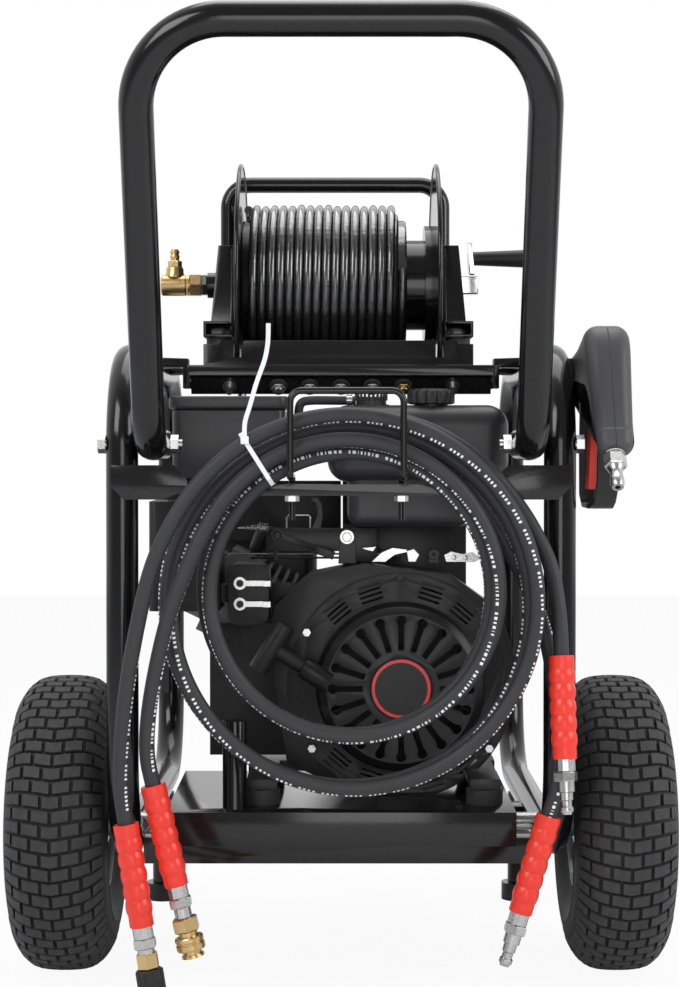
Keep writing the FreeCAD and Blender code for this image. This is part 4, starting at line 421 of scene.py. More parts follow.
class Shop:
    """Materials by name, and the small tools that put pieces in the scene."""

    def __init__(self) -> None:
        """Build every finish once."""
        groups = GroupShop()
        self.materials = {finish.name: finish.build(groups) for finish in FINISHES}

    def dress_nodes(self, nodes: dict[str, bpy.types.Object]) -> None:
        """Give each carried-over node its finish.

        Args:
            nodes: The frame's nodes by name.
        """
        for finish, names in NODE_FINISH.items():
            for name in names:
                item = nodes[name]
                item.data.materials.clear()
                item.data.materials.append(self.materials[finish])

    def piece(self, name: str, mesh: bpy.types.Mesh, finish: str, slot: str, body: Body,
              smooth: float = 40.0) -> bpy.types.Object:
        """Put a mesh in the scene as a piece that rides on a body.

        Args:
            name: Piece name.
            mesh: Its mesh, in the row frame.
            finish: Name of the finish.
            slot: Material slot of the record; not used.
            body: Body that it rides on.
            smooth: Angle in degrees under which edges are shaded smooth.

        Returns:
            The object.
        """
        item = bpy.data.objects.new(name, mesh)
        bpy.context.scene.collection.objects.link(item)
        mesh.materials.append(self.materials[finish])
        mesh.shade_smooth()
        mesh.set_sharp_from_angle(angle=math.radians(smooth))
        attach(item, body.value)
        LOG.info("%s: %d faces", name, len(mesh.polygons))
        return item


def mesh_from(name: str, build: bmesh.types.BMesh) -> bpy.types.Mesh:
    """Turn a bmesh into a mesh with outward faces.

    Args:
        name: Mesh name.
        build: The bmesh, which is freed.

    Returns:
        The mesh.
    """
    bmesh.ops.recalc_face_normals(build, faces=build.faces)
    mesh = bpy.data.meshes.new(name)
    build.to_mesh(mesh)
    build.free()
    return mesh


def turn_to(direction: Vector) -> Matrix:
    """Rotation that takes Z to a direction."""
    return direction.normalized().to_track_quat("Z", "Y").to_matrix()


def add_lathe(build: bmesh.types.BMesh, profile: list[tuple[float, float]], origin: Vector,
              direction: Vector, sides: int = 40) -> None:
    """Turn a profile round an axis.

    Args:
        build: Mesh under construction.
        profile: Radius and height pairs along the axis, in metres.
        origin: Point at height zero.
        direction: Way of the axis.
        sides: Steps round the axis.
    """
    turn = turn_to(direction)
    rings = []
    for radius, height in profile:
        if radius < 1e-7:
            rings.append([build.verts.new(origin + turn @ Vector((0, 0, height)))])
            continue
        ring = []
        for index in range(sides):
            angle = 2 * math.pi * index / sides
            spot = Vector((radius * math.cos(angle), radius * math.sin(angle), height))
            ring.append(build.verts.new(origin + turn @ spot))
        rings.append(ring)
    for low, high in zip(rings, rings[1:]):
        for index in range(sides):
            after = (index + 1) % sides
            corners = [low[index % len(low)], low[after % len(low)],
                       high[after % len(high)], high[index % len(high)]]
            corners = list(dict.fromkeys(corners))
            if len(corners) > 2:
                build.faces.new(corners)


def add_prism(build: bmesh.types.BMesh, origin: Vector, direction: Vector, radius: float,
              length: float, sides: int = 6, chamfer: float = 0.0006) -> None:
    """Bar with flat sides and small chamfers at both ends.

    Args:
        build: Mesh under construction.
        origin: Centre of the first end.
        direction: Way of the bar.
        radius: Distance from the axis to a corner.
        length: Length of the bar.
        sides: Number of flats.
        chamfer: Size of the end chamfers.
    """
    low = radius - chamfer
    profile = [(0.0, 0.0), (low, 0.0), (radius, chamfer), (radius, length - chamfer), (low, length),
               (0.0, length)]
    add_lathe(build, profile, origin, direction, sides)


def add_skin(build: bmesh.types.BMesh, rings: list[list[bmesh.types.BMVert]], capped: bool = True) -> None:
    """Join closed rings of points, one after the other.

    Args:
        build: Mesh under construction.
        rings: Rings with the same number of points.
        capped: Whether the first and the last ring are closed with a face.
    """
    for low, high in zip(rings, rings[1:]):
        count = len(low)
        for index in range(count):
            after = (index + 1) % count
            build.faces.new([low[index], low[after], high[after], high[index]])
    if capped:
        build.faces.new(list(reversed(rings[0])))
        build.faces.new(rings[-1])


def add_tube(build: bmesh.types.BMesh, line: list[Vector], radius: float, sides: int = 12) -> None:
    """Round tube along a line of points, closed at both ends.

    Args:
        build: Mesh under construction.
        line: Points along the middle.
        radius: Tube radius.
        sides: Steps round the tube.
    """
    heading = (line[1] - line[0]).normalized()
    across = heading.orthogonal().normalized()
    rings = []
    for index, spot in enumerate(line):
        before = line[max(index - 1, 0)]
        after = line[min(index + 1, len(line) - 1)]
        heading = (after - before).normalized()
        across = (across - heading * across.dot(heading)).normalized()
        upward = heading.cross(across)
        ring = []
        for step in range(sides):
            angle = 2 * math.pi * step / sides
            offset = across * math.cos(angle) + upward * math.sin(angle)
            ring.append(build.verts.new(spot + offset * radius))
        rings.append(ring)
    add_skin(build, rings)


def add_block(build: bmesh.types.BMesh, low: Vector, high: Vector, bevel: float = 0.001) -> None:
    """Block between two corners with rounded edges.

    Args:
        build: Mesh under construction.
        low: Lowest corner.
        high: Highest corner.
        bevel: Size of the rounding.
    """
    centre = (low + high) / 2
    size = high - low
    made = bmesh.ops.create_cube(build, size=1.0)
    for vertex in made["verts"]:
        vertex.co = Vector(a * b for a, b in zip(vertex.co, size)) + centre
    edges = list({edge for vertex in made["verts"] for edge in vertex.link_edges})
    bmesh.ops.bevel(build, geom=edges, offset=bevel, segments=3, affect="EDGES", profile=0.5)


def between(a: Vector, b: Vector, c: Vector, e: Vector, t: float) -> Vector:
    """Point on the smooth line through four points, between the middle two.

    Args:
        a: Point before the stretch.
        b: Start of the stretch.
        c: End of the stretch.
        e: Point after the stretch.
        t: Share of the way from start to end.

    Returns:
        The point.
    """
    return 0.5 * ((2 * b) + (c - a) * t + (2 * a - 5 * b + 4 * c - e) * t * t
                  + (3 * b - a - 3 * c + e) * t * t * t)


def smooth_line(points: list[Point], steps: int = 8) -> list[Vector]:
    """Points along a smooth spline through a few control points.

    Args:
        points: Control points in metres.
        steps: Steps between two points.

    Returns:
        Points along the spline, both ends included.
    """
    spots = [Vector(point) for point in points]
    spots = [spots[0] * 2 - spots[1]] + spots + [spots[-1] * 2 - spots[-2]]
    line = []
    for a, b, c, e in zip(spots, spots[1:], spots[2:], spots[3:]):
        line += [between(a, b, c, e, step / steps) for step in range(steps)]
    line.append(spots[-2])
    return line


@dataclass(frozen=True)
class Lamp:
    """Square soft lamp: where it hangs, its side in metres and its power in watts."""

    name: str
    place: Point
    size: float
    power: float
    target: Point = (0.0, 0.0, 0.5)

    def hang(self) -> None:
        """Put the lamp in the scene, aimed at its target."""
        data = bpy.data.lights.new(self.name, "AREA")
        data.energy = self.power
        data.size = self.size
        lamp = bpy.data.objects.new(self.name, data)
        lamp.location = self.place
        aim = Vector(self.target) - Vector(self.place)
        lamp.rotation_euler = aim.to_track_quat("-Z", "Y").to_euler()
        bpy.context.scene.collection.objects.link(lamp)


LAMPS = (
    Lamp("key_softbox", (-1.9, -2.2, 2.3), 1.6, 52.0),
    Lamp("right_softbox", (2.3, -1.3, 1.5), 1.3, 34.0),
    Lamp("top_softbox", (0.2, 0.5, 2.8), 1.8, 30.0),
    Lamp("low_front", (0.2, -3.2, 0.7), 1.2, 14.0, (0.0, 0.0, 0.4)),
)


@dataclass
class Studio:
    """Camera, lights, floor and backdrop."""

    camera_height: float = 0.584
    camera_back: float = 2.421
    tilt: float = 1.19
    yaw: float = 0.041
    lens: float = 76.6
    floor_half: float = 6.0
    floor_white: float = 0.93
    floor_grey: float = 0.9
    world_light: float = 0.42
    front_share: float = 0.30

    def build(self) -> None:
        """Set the whole stage."""
        bpy.context.scene.view_settings.view_transform = "Standard"
        self.add_camera()
        self.add_world()
        self.add_floor()
        for lamp in LAMPS:
            lamp.hang()

    def add_camera(self) -> None:
        """Place the camera where the photograph was taken from."""
        data = bpy.data.cameras.new("camera")
        data.lens = self.lens
        camera = bpy.data.objects.new("camera", data)
        camera.location = (0.0, -self.camera_back, self.camera_height)
        camera.rotation_euler = (math.radians(90 - self.tilt), 0.0, math.radians(self.yaw))
        bpy.context.scene.collection.objects.link(camera)
        bpy.context.scene.camera = camera

    def add_world(self) -> None:
        """White for the camera and in reflections, grey for the light it gives."""
        world = bpy.data.worlds.new("studio")
        bpy.context.scene.world = world
        world.use_nodes = True
        tree = world.node_tree
        tree.nodes.clear()
        seen = add_node(tree, "ShaderNodeBackground", Color=(1, 1, 1, 1))
        light = add_node(tree, "ShaderNodeBackground", Color=(0.9, 0.93, 1, 1), Strength=self.world_light)
        path = add_node(tree, "ShaderNodeLightPath")
        place = add_node(tree, "ShaderNodeTexCoord")
        parts = add_node(tree, "ShaderNodeSeparateXYZ")
        rear = add_node(tree, "ShaderNodeMapRange", From_Min=-0.45, From_Max=0.15, To_Min=self.front_share)
        level = add_node(tree, "ShaderNodeMath", operation="MAXIMUM")
        either = add_node(tree, "ShaderNodeMath", operation="MAXIMUM")
        every = add_node(tree, "ShaderNodeMath", operation="MAXIMUM")
        mix = add_node(tree, "ShaderNodeMixShader")
        out = add_node(tree, "ShaderNodeOutputWorld")
        tree.links.new(place.outputs["Generated"], parts.inputs["Vector"])
        tree.links.new(parts.outputs["Y"], rear.inputs["Value"])
        tree.links.new(rear.outputs["Result"], level.inputs[0])
        tree.links.new(path.outputs["Is Camera Ray"], level.inputs[1])
        tree.links.new(level.outputs[0], seen.inputs["Strength"])
        tree.links.new(path.outputs["Is Camera Ray"], either.inputs[0])
        tree.links.new(path.outputs["Is Glossy Ray"], either.inputs[1])
        tree.links.new(either.outputs[0], every.inputs[0])
        tree.links.new(path.outputs["Is Transmission Ray"], every.inputs[1])
        tree.links.new(every.outputs[0], mix.inputs[0])
        tree.links.new(light.outputs[0], mix.inputs[1])
        tree.links.new(seen.outputs[0], mix.inputs[2])
        tree.links.new(mix.outputs[0], out.inputs["Surface"])

    def add_floor(self) -> None:
        """Pale floor that takes a soft shadow."""
        half = self.floor_half
        build = bmesh.new()
        corners = [(-half, -half, 0), (half, -half, 0), (half, half, 0), (-half, half, 0)]
        build.faces.new([build.verts.new(corner) for corner in corners])
        floor = bpy.data.objects.new("floor", mesh_from("floor", build))
        floor.location.z = -0.0005
        bpy.context.scene.collection.objects.link(floor)
        material = bpy.data.materials.new("pale_floor")
        material.use_nodes = True
        tree = material.node_tree
        shader = tree.nodes["Principled BSDF"]
        shader.inputs["Base Color"].default_value = (*[self.floor_grey] * 3, 1)
        shader.inputs["Roughness"].default_value = 0.9
        glow = add_node(tree, "ShaderNodeEmission", Color=(1, 1, 1, 1), Strength=1.0)
        path = add_node(tree, "ShaderNodeLightPath")
        share = add_node(tree, "ShaderNodeMath", operation="MULTIPLY")
        share.inputs[1].default_value = self.floor_white
        mix = add_node(tree, "ShaderNodeMixShader")
        tree.links.new(path.outputs["Is Camera Ray"], share.inputs[0])
        tree.links.new(share.outputs[0], mix.inputs[0])
        tree.links.new(shader.outputs[0], mix.inputs[1])
        tree.links.new(glow.outputs[0], mix.inputs[2])
        tree.links.new(mix.outputs[0], tree.nodes["Material Output"].inputs["Surface"])
        floor.data.materials.append(material)
        floor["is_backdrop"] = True


@dataclass
class Tyre:
    """Turf tyre: a round carcass with rows of chevron blocks."""

    name: str
    body: Body
    centre_x: float
    axle_y: float = -0.057
    axle_z: float = 0.165
    radius: float = 0.1645
    groove: float = 0.0052
    rows: int = 66
    block_pitch: float = 0.0215
    block_width: float = 0.0182
    row_fill: float = 0.80
    chevron: float = 0.16

    def drop(self, across: float) -> float:
        """How far the tread falls from the crown at a distance from the middle.

        Args:
            across: Distance from the middle plane, in metres.

        Returns:
            The fall in metres.
        """
        t = abs(across) / 0.0555
        return 0.0018 * t + 0.034 * t ** 4.2

    def spot(self, across: float, along: float, depth: float) -> Vector:
        """Point on the tread.

        Args:
            across: Distance from the middle plane.
            along: Distance round the tyre.
            depth: Depth under the tread surface.

        Returns:
            The point in the row frame.
        """
        angle = along / self.radius
        reach = self.radius - self.drop(across) - depth
        lean = 0.3 * depth * (abs(across) / 0.0555) ** 3
        x = self.centre_x + across - math.copysign(lean, across)
        return Vector((x, self.axle_y - reach * math.cos(angle), self.axle_z + reach * math.sin(angle)))

    def add_block(self, build: bmesh.types.BMesh, middle: float, along: float, width: float,
                  height: float) -> None:
        """Raise one tread block with a bent front and back edge.

        Args:
            build: Mesh under construction.
            middle: Place of the block across the tread.
            along: Place of its row round the tyre.
            width: Width of the block.
            height: Length of the block round the tyre.
        """
        half = width / 2
        stops = [middle - half, middle, middle + half]
        rings = []
        for depth, grow in ((self.groove + 0.0008, 1.0), (0.0005, 0.98), (0.0, 0.93)):
            front, back = [], []
            for stop in stops:
                across = middle + (stop - middle) * grow
                bend = self.chevron * abs(across)
                front.append(build.verts.new(self.spot(across, along + bend + height / 2 * grow, depth)))
                back.append(build.verts.new(self.spot(across, along + bend - height / 2 * grow, depth)))
            rings.append(front + list(reversed(back)))
        add_skin(build, rings, capped=False)
        top = rings[-1]
        build.faces.new([top[0], top[1], top[4], top[5]])
        build.faces.new([top[1], top[2], top[3], top[4]])

    def build(self, shop: Shop) -> None:
        """Make the carcass with its blocks and sidewall rings."""
        build = bmesh.new()
        middle = Vector((self.centre_x, self.axle_y, self.axle_z))
        outline = []
        for index in range(-10, 11):
            across = 0.0535 * index / 10
            outline.append((self.radius - self.groove - self.drop(across), across))
        side = [(0.122, 0.0552), (0.112, 0.0553), (0.1105, 0.0562), (0.1085, 0.0553), (0.098, 0.0530),
                (0.0900, 0.0470), (0.0830, 0.0435), (0.0785, 0.0420)]
        profile = [(r, -x) for r, x in reversed(side)] + outline + side
        add_lathe(build, profile, middle, Vector((1, 0, 0)), 132)
        pitch = 2 * math.pi * self.radius / self.rows
        for row in range(self.rows):
            along = row * pitch
            shift = 0.0 if row % 2 else self.block_pitch / 2
            lanes = (-2, -1, 0, 1, 2) if row % 2 else (-3, -2, -1, 0, 1, 2)
            for lane in lanes:
                across = lane * self.block_pitch + shift
                width = self.block_width
                if abs(across) > 0.052:
                    across = math.copysign(0.0478, across)
                    width = self.block_width * 0.5
                self.add_block(build, across, along, width, pitch * self.row_fill)
        mesh = mesh_from(self.name, build)
        tyre = shop.piece(f"{self.name}_turf", mesh, "tyre_rubber", "black_rubber", self.body, 35)
        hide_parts(self.name)


@dataclass
class FreeHose:
    """One connector hose: tail, coil and tail on one spline, with white dashes along it."""

    name: str
    centre_z: float
    coil_radius: float
    left_tail: list[Point]
    right_tail: list[Point]
    replaced: tuple[str, ...]
    length: float
    seed: int
    radius: float = 0.008
    coil_x: float = 0.010
    flare: float = 0.018
    start: float = 22.0
    end: float = 870.0
    front_y: float = -0.28344
    pitch: float = 0.019
    steps: int = 52
    run_on: float = 0.036
    print_start: float = 0.3
    print_swing: float = 1.5
    print_rate: float = 4.3
    shortest_mark: float = 0.0011
    mark_growth: float = 0.00026
    mark_gap: float = 0.0012
    word_gap: float = 0.0062

    def coil(self) -> list[Point]:
        """Points of the loose turns, widest at both ends."""
        points = []
        drift = self.pitch * (self.end - self.start) / 360
        for index in range(self.steps + 1):
            share = index / self.steps
            angle = math.radians(self.start + (self.end - self.start) * share)
            u = 2 * share - 1
            reach = self.coil_radius + self.flare * u * u
            points.append((self.coil_x - reach * math.cos(angle), self.front_y + drift * share,
                           self.centre_z + reach * math.sin(angle)))
        return points

    def inside_boot(self, tail: list[Point]) -> Point:
        """Point where the hose ends, a little way inside its boot."""
        last, before = Vector(tail[-1]), Vector(tail[-2])
        return tuple(last + (last - before).normalized() * self.run_on)

    def route(self) -> list[Point]:
        """Whole route from the left fitting round the hook to the right fitting."""
        tails = [self.left_tail + [self.inside_boot(self.left_tail)],
                 self.right_tail + [self.inside_boot(self.right_tail)]]
        return list(reversed(tails[0])) + self.coil() + tails[1]

    def curve(self) -> bpy.types.Object:
        """Make the hose as a smooth curve."""
        data = bpy.data.curves.new(self.name, "CURVE")
        data.dimensions = "3D"
        data.resolution_u = 8
        data.bevel_depth = 1.0
        data.bevel_resolution = 7
        data.use_fill_caps = True
        points = self.route()
        spline = data.splines.new("NURBS")
        spline.points.add(len(points) - 1)
        for item, point in zip(spline.points, points):
            item.co = (*point, 1.0)
            item.radius = self.radius
        spline.order_u = 3
        spline.use_endpoint_u = True
        hose = bpy.data.objects.new(self.name, data)
        bpy.context.scene.collection.objects.link(hose)
        return hose

    def line(self, hose: bpy.types.Object) -> list[Vector]:
        """Read the spline's own points, with its thickness off for a moment."""
        hose.data.bevel_depth = 0.0
        bpy.context.view_layer.update()
        mesh = bpy.data.meshes.new_from_object(hose)
        hose.data.bevel_depth = 1.0
        return [vertex.co.copy() for vertex in mesh.vertices]

    def print_side(self, heading: Vector, travelled: float) -> Vector:
        """Way from the middle of the hose to its printed line, which winds slowly round it."""
        out = Vector((0.0, -1.0, 0.12))
        out = (out - heading * out.dot(heading)).normalized()
        twist = self.print_start + self.print_swing * math.sin(travelled * self.print_rate)
        return out * math.cos(twist) + heading.cross(out) * math.sin(twist)

    def dashes(self, line: list[Vector]) -> bpy.types.Mesh:
        """Printed row of plain white dashes of uneven length, in groups.

        Args:
            line: Points along the hose.

        Returns:
            Mesh of thin curved strips just over the rubber.
        """
        build = bmesh.new()
        travelled, mark_end, gap_end = 0.0, 0.0, 0.05
        wave, left = self.seed, 6
        strips: list[list[tuple[Vector, Vector, Vector]]] = []
        current: list[tuple[Vector, Vector, Vector]] = []
        for before, spot in zip(line, line[1:]):
            count = max(1, math.ceil((spot - before).length / 0.0006))
            heading = (spot - before).normalized()
            for step in range(count):
                place = before.lerp(spot, step / count)
                out = self.print_side(heading, travelled)
                travelled += (spot - before).length / count
                if travelled < mark_end:
                    current.append((place, out, heading.cross(out)))
                elif current:
                    strips.append(current)
                    current = []
                    wave = (wave * 7 + 3) % 11
                    left -= 1
                    gap_end = travelled + self.mark_gap
                    if left <= 0:
                        left = 4 + wave % 5
                        gap_end = travelled + self.word_gap
                if not current and travelled >= gap_end:
                    mark_end = travelled + self.shortest_mark + self.mark_growth * wave
                    current = [(place, out, heading.cross(out))]
        for strip in strips:
            rows = []
            for place, out, side in strip:
                row = []
                for angle in (-0.20, -0.07, 0.07, 0.20):
                    way = out * math.cos(angle) + side * math.sin(angle)
                    row.append(build.verts.new(place + way * (self.radius + 0.00012)))
                rows.append(row)
            for low, high in zip(rows, rows[1:]):
                for index in range(3):
                    build.faces.new([low[index], low[index + 1], high[index + 1], high[index]])
        return mesh_from(f"{self.name}_dashes", build)

    def build(self, shop: Shop, pieces: list[bpy.types.Object]) -> None:
        """Args:
            shop: Materials and placing.
            pieces: Boots and fittings on the hose; not used.
        """
        hose = self.curve()
        hose.data.materials.append(shop.materials["hose_rubber"])
        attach(hose, Body.FRAME.value)
        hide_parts(*self.replaced)
        line = self.line(hose)
        marks = shop.piece(f"{self.name}_dashes", self.dashes(line), "white_marking", "white_plastic",
                           Body.FRAME)
        measured = sum((b - a).length for a, b in zip(line, line[1:]))
        LOG.info("%s: %.3f m on its spline", self.name, measured)


class End(Enum):
    """What a hose end carries beyond its boot."""

    SCREW_NUT = "screw_nut"
    COUPLER = "coupler"
    SHORT_NIPPLE = "short_nipple"
    LONG_NIPPLE = "long_nipple"


@dataclass
class HoseEnd:
    """Red boot, crimped sleeve and fitting at one end of a hose."""

    name: str
    kind: End
    last: Point
    before: Point
    boot_length: float = 0.106

    def at(self, reach: float) -> Vector:
        """Point beyond the hose end."""
        return Vector(self.last) + self.way() * reach

    def way(self) -> Vector:
        """Way that the hose end points."""
        return (Vector(self.last) - Vector(self.before)).normalized()

    def boot(self, shop: Shop) -> bpy.types.Object:
        """Soft boot with round swellings and a plain collar at the hose."""
        profile = [(0.0078, 0.002), (0.0092, 0.0004), (0.0122, 0.0), (0.0131, 0.0008),
                   (0.0133, 0.006), (0.0130, 0.0125)]
        swellings = 5
        length = self.boot_length - 0.0125 - 0.012
        steps = swellings * 10
        for index in range(1, steps + 1):
            share = index / steps
            swell = abs(math.sin(math.pi * swellings * share)) ** 0.8
            profile.append((0.0121 + 0.0016 * swell, 0.0125 + length * share))
        end = self.boot_length
        profile += [(0.0124, end - 0.009), (0.0124, end - 0.001), (0.0118, end), (0.0, end)]
        build = bmesh.new()
        add_lathe(build, profile, self.at(0), self.way(), 48)
        mesh = mesh_from(f"{self.name}_boot", build)
        return shop.piece(f"{self.name}_boot", mesh, "boot_rubber", "red_rubber", Body.FRAME)

    def sleeve(self, shop: Shop) -> bpy.types.Object:
        """Crimped zinc sleeve with long flats, then a hexagon."""
        build = bmesh.new()
        start = self.boot_length - 0.001
        add_prism(build, self.at(start), self.way(), 0.0105, 0.0135, 12, 0.0008)
        add_prism(build, self.at(start + 0.0135), self.way(), 0.0125, 0.010, 6, 0.0012)
        add_lathe(build, [(0.0, 0.0), (0.0088, 0.0), (0.0088, 0.0105), (0.0, 0.0105)],
                  self.at(start + 0.0235), self.way(), 32)
        mesh = mesh_from(f"{self.name}_sleeve", build)
        return shop.piece(f"{self.name}_sleeve", mesh, "zinc_plate", "zinc", Body.FRAME, 25)

    def fitting(self, shop: Shop) -> list[bpy.types.Object]:
        """Make the fitting itself.

        Args:
            shop: Materials and placing.

        Returns:
            The pieces of the fitting.
        """
        start = self.boot_length + 0.0335
        way = self.way()
        build = bmesh.new()
        made = []
        if self.kind is End.SCREW_NUT:
            add_prism(build, self.at(start - 0.006), way, 0.0118, 0.016, 6, 0.0012)
            add_lathe(build, [(0.0, 0.0), (0.0068, 0.0), (0.0068, 0.020), (0.0, 0.020)],
                      self.at(start + 0.009), way, 32)
            made.append(shop.piece(f"{self.name}_stem", mesh_from("stem", build), "machined_brass",
                                   "brass", Body.FRAME, 25))
            nut = bmesh.new()
            self.add_ribbed_nut(nut, start + 0.0105)
            item = shop.piece("coupling_nut", mesh_from("coupling_nut", nut), "moulded_plastic",
                              "nut_black", Body.SWIVEL_NUT, 30)
            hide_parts("swivel_nut")
            made.append(item)
        elif self.kind is End.COUPLER:
            add_prism(build, self.at(start), way, 0.0142, 0.0145, 6, 0.0014)
            add_lathe(build, [(0.0, 0.0), (0.0098, 0.0), (0.0098, 0.0245), (0.0115, 0.0245),
                              (0.0118, 0.027), (0.0105, 0.0275), (0.0072, 0.0275), (0.0072, 0.018),
                              (0.0, 0.018)], self.at(start + 0.0140), way, 40)
            made.append(shop.piece(f"{self.name}_body", mesh_from("coupler_body", build),
                                   "machined_brass", "brass", Body.FRAME, 25))
            ring = bmesh.new()
            profile = [(0.01008, 0.0), (0.0140, 0.0), (0.0148, 0.0012), (0.0148, 0.0048),
                       (0.0139, 0.0056), (0.0139, 0.0070), (0.0148, 0.0078), (0.0148, 0.0128),
                       (0.0138, 0.0142), (0.01008, 0.0142), (0.01008, 0.0)]
            add_lathe(ring, profile, self.at(start + 0.0196), way, 48)
            item = shop.piece("coupler_ring", mesh_from("coupler_ring", ring), "machined_brass",
                              "brass", Body.COUPLER, 25)
            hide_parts("coupler_sleeve")
            made.append(item)
        else:
            length = 0.0225 if self.kind is End.SHORT_NIPPLE else 0.0245
            profile = [(0.0, 0.0), (0.0070, 0.0), (0.0070, length * 0.34), (0.0056, length * 0.40),
                       (0.0056, length * 0.62), (0.0070, length * 0.68), (0.0070, length * 0.84),
                       (0.0052, length * 0.95), (0.0050, length), (0.0026, length),
                       (0.0026, length * 0.7), (0.0, length * 0.7)]
            add_lathe(build, profile, self.at(start), way, 36)
            made.append(shop.piece(f"{self.name}_nipple", mesh_from("nipple", build), "zinc_plate",
                                   "zinc", Body.FRAME, 25))
        return made

    def add_ribbed_nut(self, build: bmesh.types.BMesh, start: float) -> None:
        """Plastic nut with grip ribs round it.

        Args:
            build: Mesh under construction.
            start: Distance of its first face beyond the hose end.
        """
        profile = [(0.00708, 0.0), (0.0122, 0.0), (0.0132, 0.0012), (0.0132, 0.0245),
                   (0.0124, 0.0255), (0.0094, 0.0255), (0.0094, 0.012), (0.00708, 0.012),
                   (0.00708, 0.0)]
        add_lathe(build, profile, self.at(start), self.way(), 48)
        turn = turn_to(self.way())
        for index in range(14):
            angle = 2 * math.pi * index / 14
            offset = turn @ Vector((0.0128 * math.cos(angle), 0.0128 * math.sin(angle), 0.0012))
            add_lathe(build, [(0.0, 0.0), (0.0012, 0.0), (0.0016, 0.0008), (0.0016, 0.0214),
                              (0.0012, 0.0222), (0.0, 0.0222)], self.at(start) + offset, self.way(), 10)

    def build(self, shop: Shop) -> list[bpy.types.Object]:
        """Make every piece of this hose end."""
        return [self.boot(shop), self.sleeve(shop), *self.fitting(shop)]


@dataclass
class ConnectorHoses:
    """Both hoses on the hook and the four ends."""

    front: float = -0.28344
    back: float = -0.23868

    def build(self, shop: Shop) -> None:
        """Build the ends first, then each hose with its own."""
        f, b = self.front, self.back
        outer_left = [(-0.196, f, 0.458), (-0.207, f - 0.003, 0.408), (-0.217, f - 0.007, 0.352),
                      (-0.223, f - 0.010, 0.296), (-0.2247, f - 0.010, 0.240),
                      (-0.219, f - 0.010, 0.204)]
        outer_right = [(0.2075, b - 0.0001, 0.489), (0.2195, b - 0.005, 0.460),
                       (0.226, b - 0.0165, 0.412), (0.227, b - 0.022, 0.372)]
        inner_left = [(-0.158, f, 0.462), (-0.176, f - 0.001, 0.416), (-0.188, f - 0.001, 0.366),
                      (-0.197, f, 0.315), (-0.199, f, 0.272), (-0.192, f, 0.242)]
        inner_right = [(0.171, b + 0.0005, 0.487), (0.191, b + 0.0015, 0.450),
                       (0.210, b + 0.002, 0.405), (0.221, b + 0.001, 0.355), (0.227, b, 0.298),
                       (0.228, b - 0.001, 0.240), (0.217, b - 0.001, 0.203)]
        ends = {
            "outer": [HoseEnd("outer_left", End.SCREW_NUT, outer_left[-1], outer_left[-2]),
                      HoseEnd("outer_right", End.SHORT_NIPPLE, outer_right[-1], outer_right[-2])],
            "inner": [HoseEnd("inner_left", End.COUPLER, inner_left[-1], inner_left[-2]),
                      HoseEnd("inner_right", End.LONG_NIPPLE, inner_right[-1], inner_right[-2])],
        }
        made = {name: [piece for end in pair for piece in end.build(shop)]
                for name, pair in ends.items()}
        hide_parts("hose_boots")
        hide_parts("hose_fittings")
        FreeHose("outer_hose", 0.423, 0.186, outer_left, outer_right,
                 ("outer_hose_coil", "hose_tails"), 3.307, 5).build(shop, made["outer"])
        FreeHose("inner_hose", 0.437, 0.146, inner_left, inner_right,
                 ("inner_hose_coil",), 2.849, 8).build(shop, made["inner"])


@dataclass
class ReelHose:
    """Wrapped drain hose wound on the drum."""

    axis_y: float = 0.075
    axis_z: float = 0.779
    left_x: float = -0.1147
    pitch: float = 0.01055
    turns: float = 17.4
    radius: float = 0.089
    hose: float = 0.0052

    def winding(self, start: float, reach: float, turns: float) -> list[Vector]:
        """Points of one layer.

        Args:
            start: X of the first turn.
            reach: Radius of the layer.
            turns: Number of turns.

        Returns:
            Points along the middle of the hose.
        """
        steps = 40
        line = []
        for index in range(int(turns * steps) + 1):
            angle = 2 * math.pi * index / steps
            wobble = 0.0006 * math.sin(angle * 0.37) + 0.0004 * math.sin(angle * 1.9)
            line.append(Vector((start + self.pitch * index / steps,
                                self.axis_y + (reach + wobble) * math.sin(angle),
                                self.axis_z + (reach + wobble) * math.cos(angle))))
        return line

    def build(self, shop: Shop) -> None:
        """Make the outer turns over an inner layer."""
        build = bmesh.new()
        add_tube(build, self.winding(self.left_x + self.hose, self.radius, self.turns - 1.2), self.hose, 12)
        low = self.winding(self.left_x + self.hose + 0.004, self.radius - 0.0095, self.turns - 0.6)
        add_tube(build, low, self.hose * 0.96, 10)
        origin = Vector((self.left_x - 0.0008, self.axis_y, self.axis_z))
        span = self.pitch * self.turns + 0.008
        add_lathe(build, [(0.0535, 0.0), (0.0750, 0.0), (0.0765, 0.003), (0.0765, span - 0.003),
                          (0.0750, span), (0.0535, span)], origin, Vector((1, 0, 0)), 64)
        mesh = mesh_from("reel_winding", build)
        hose = shop.piece("reel_winding", mesh, "wrapped_hose", "soft_rubber", Body.REEL, 60)
        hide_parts("reel_hose")


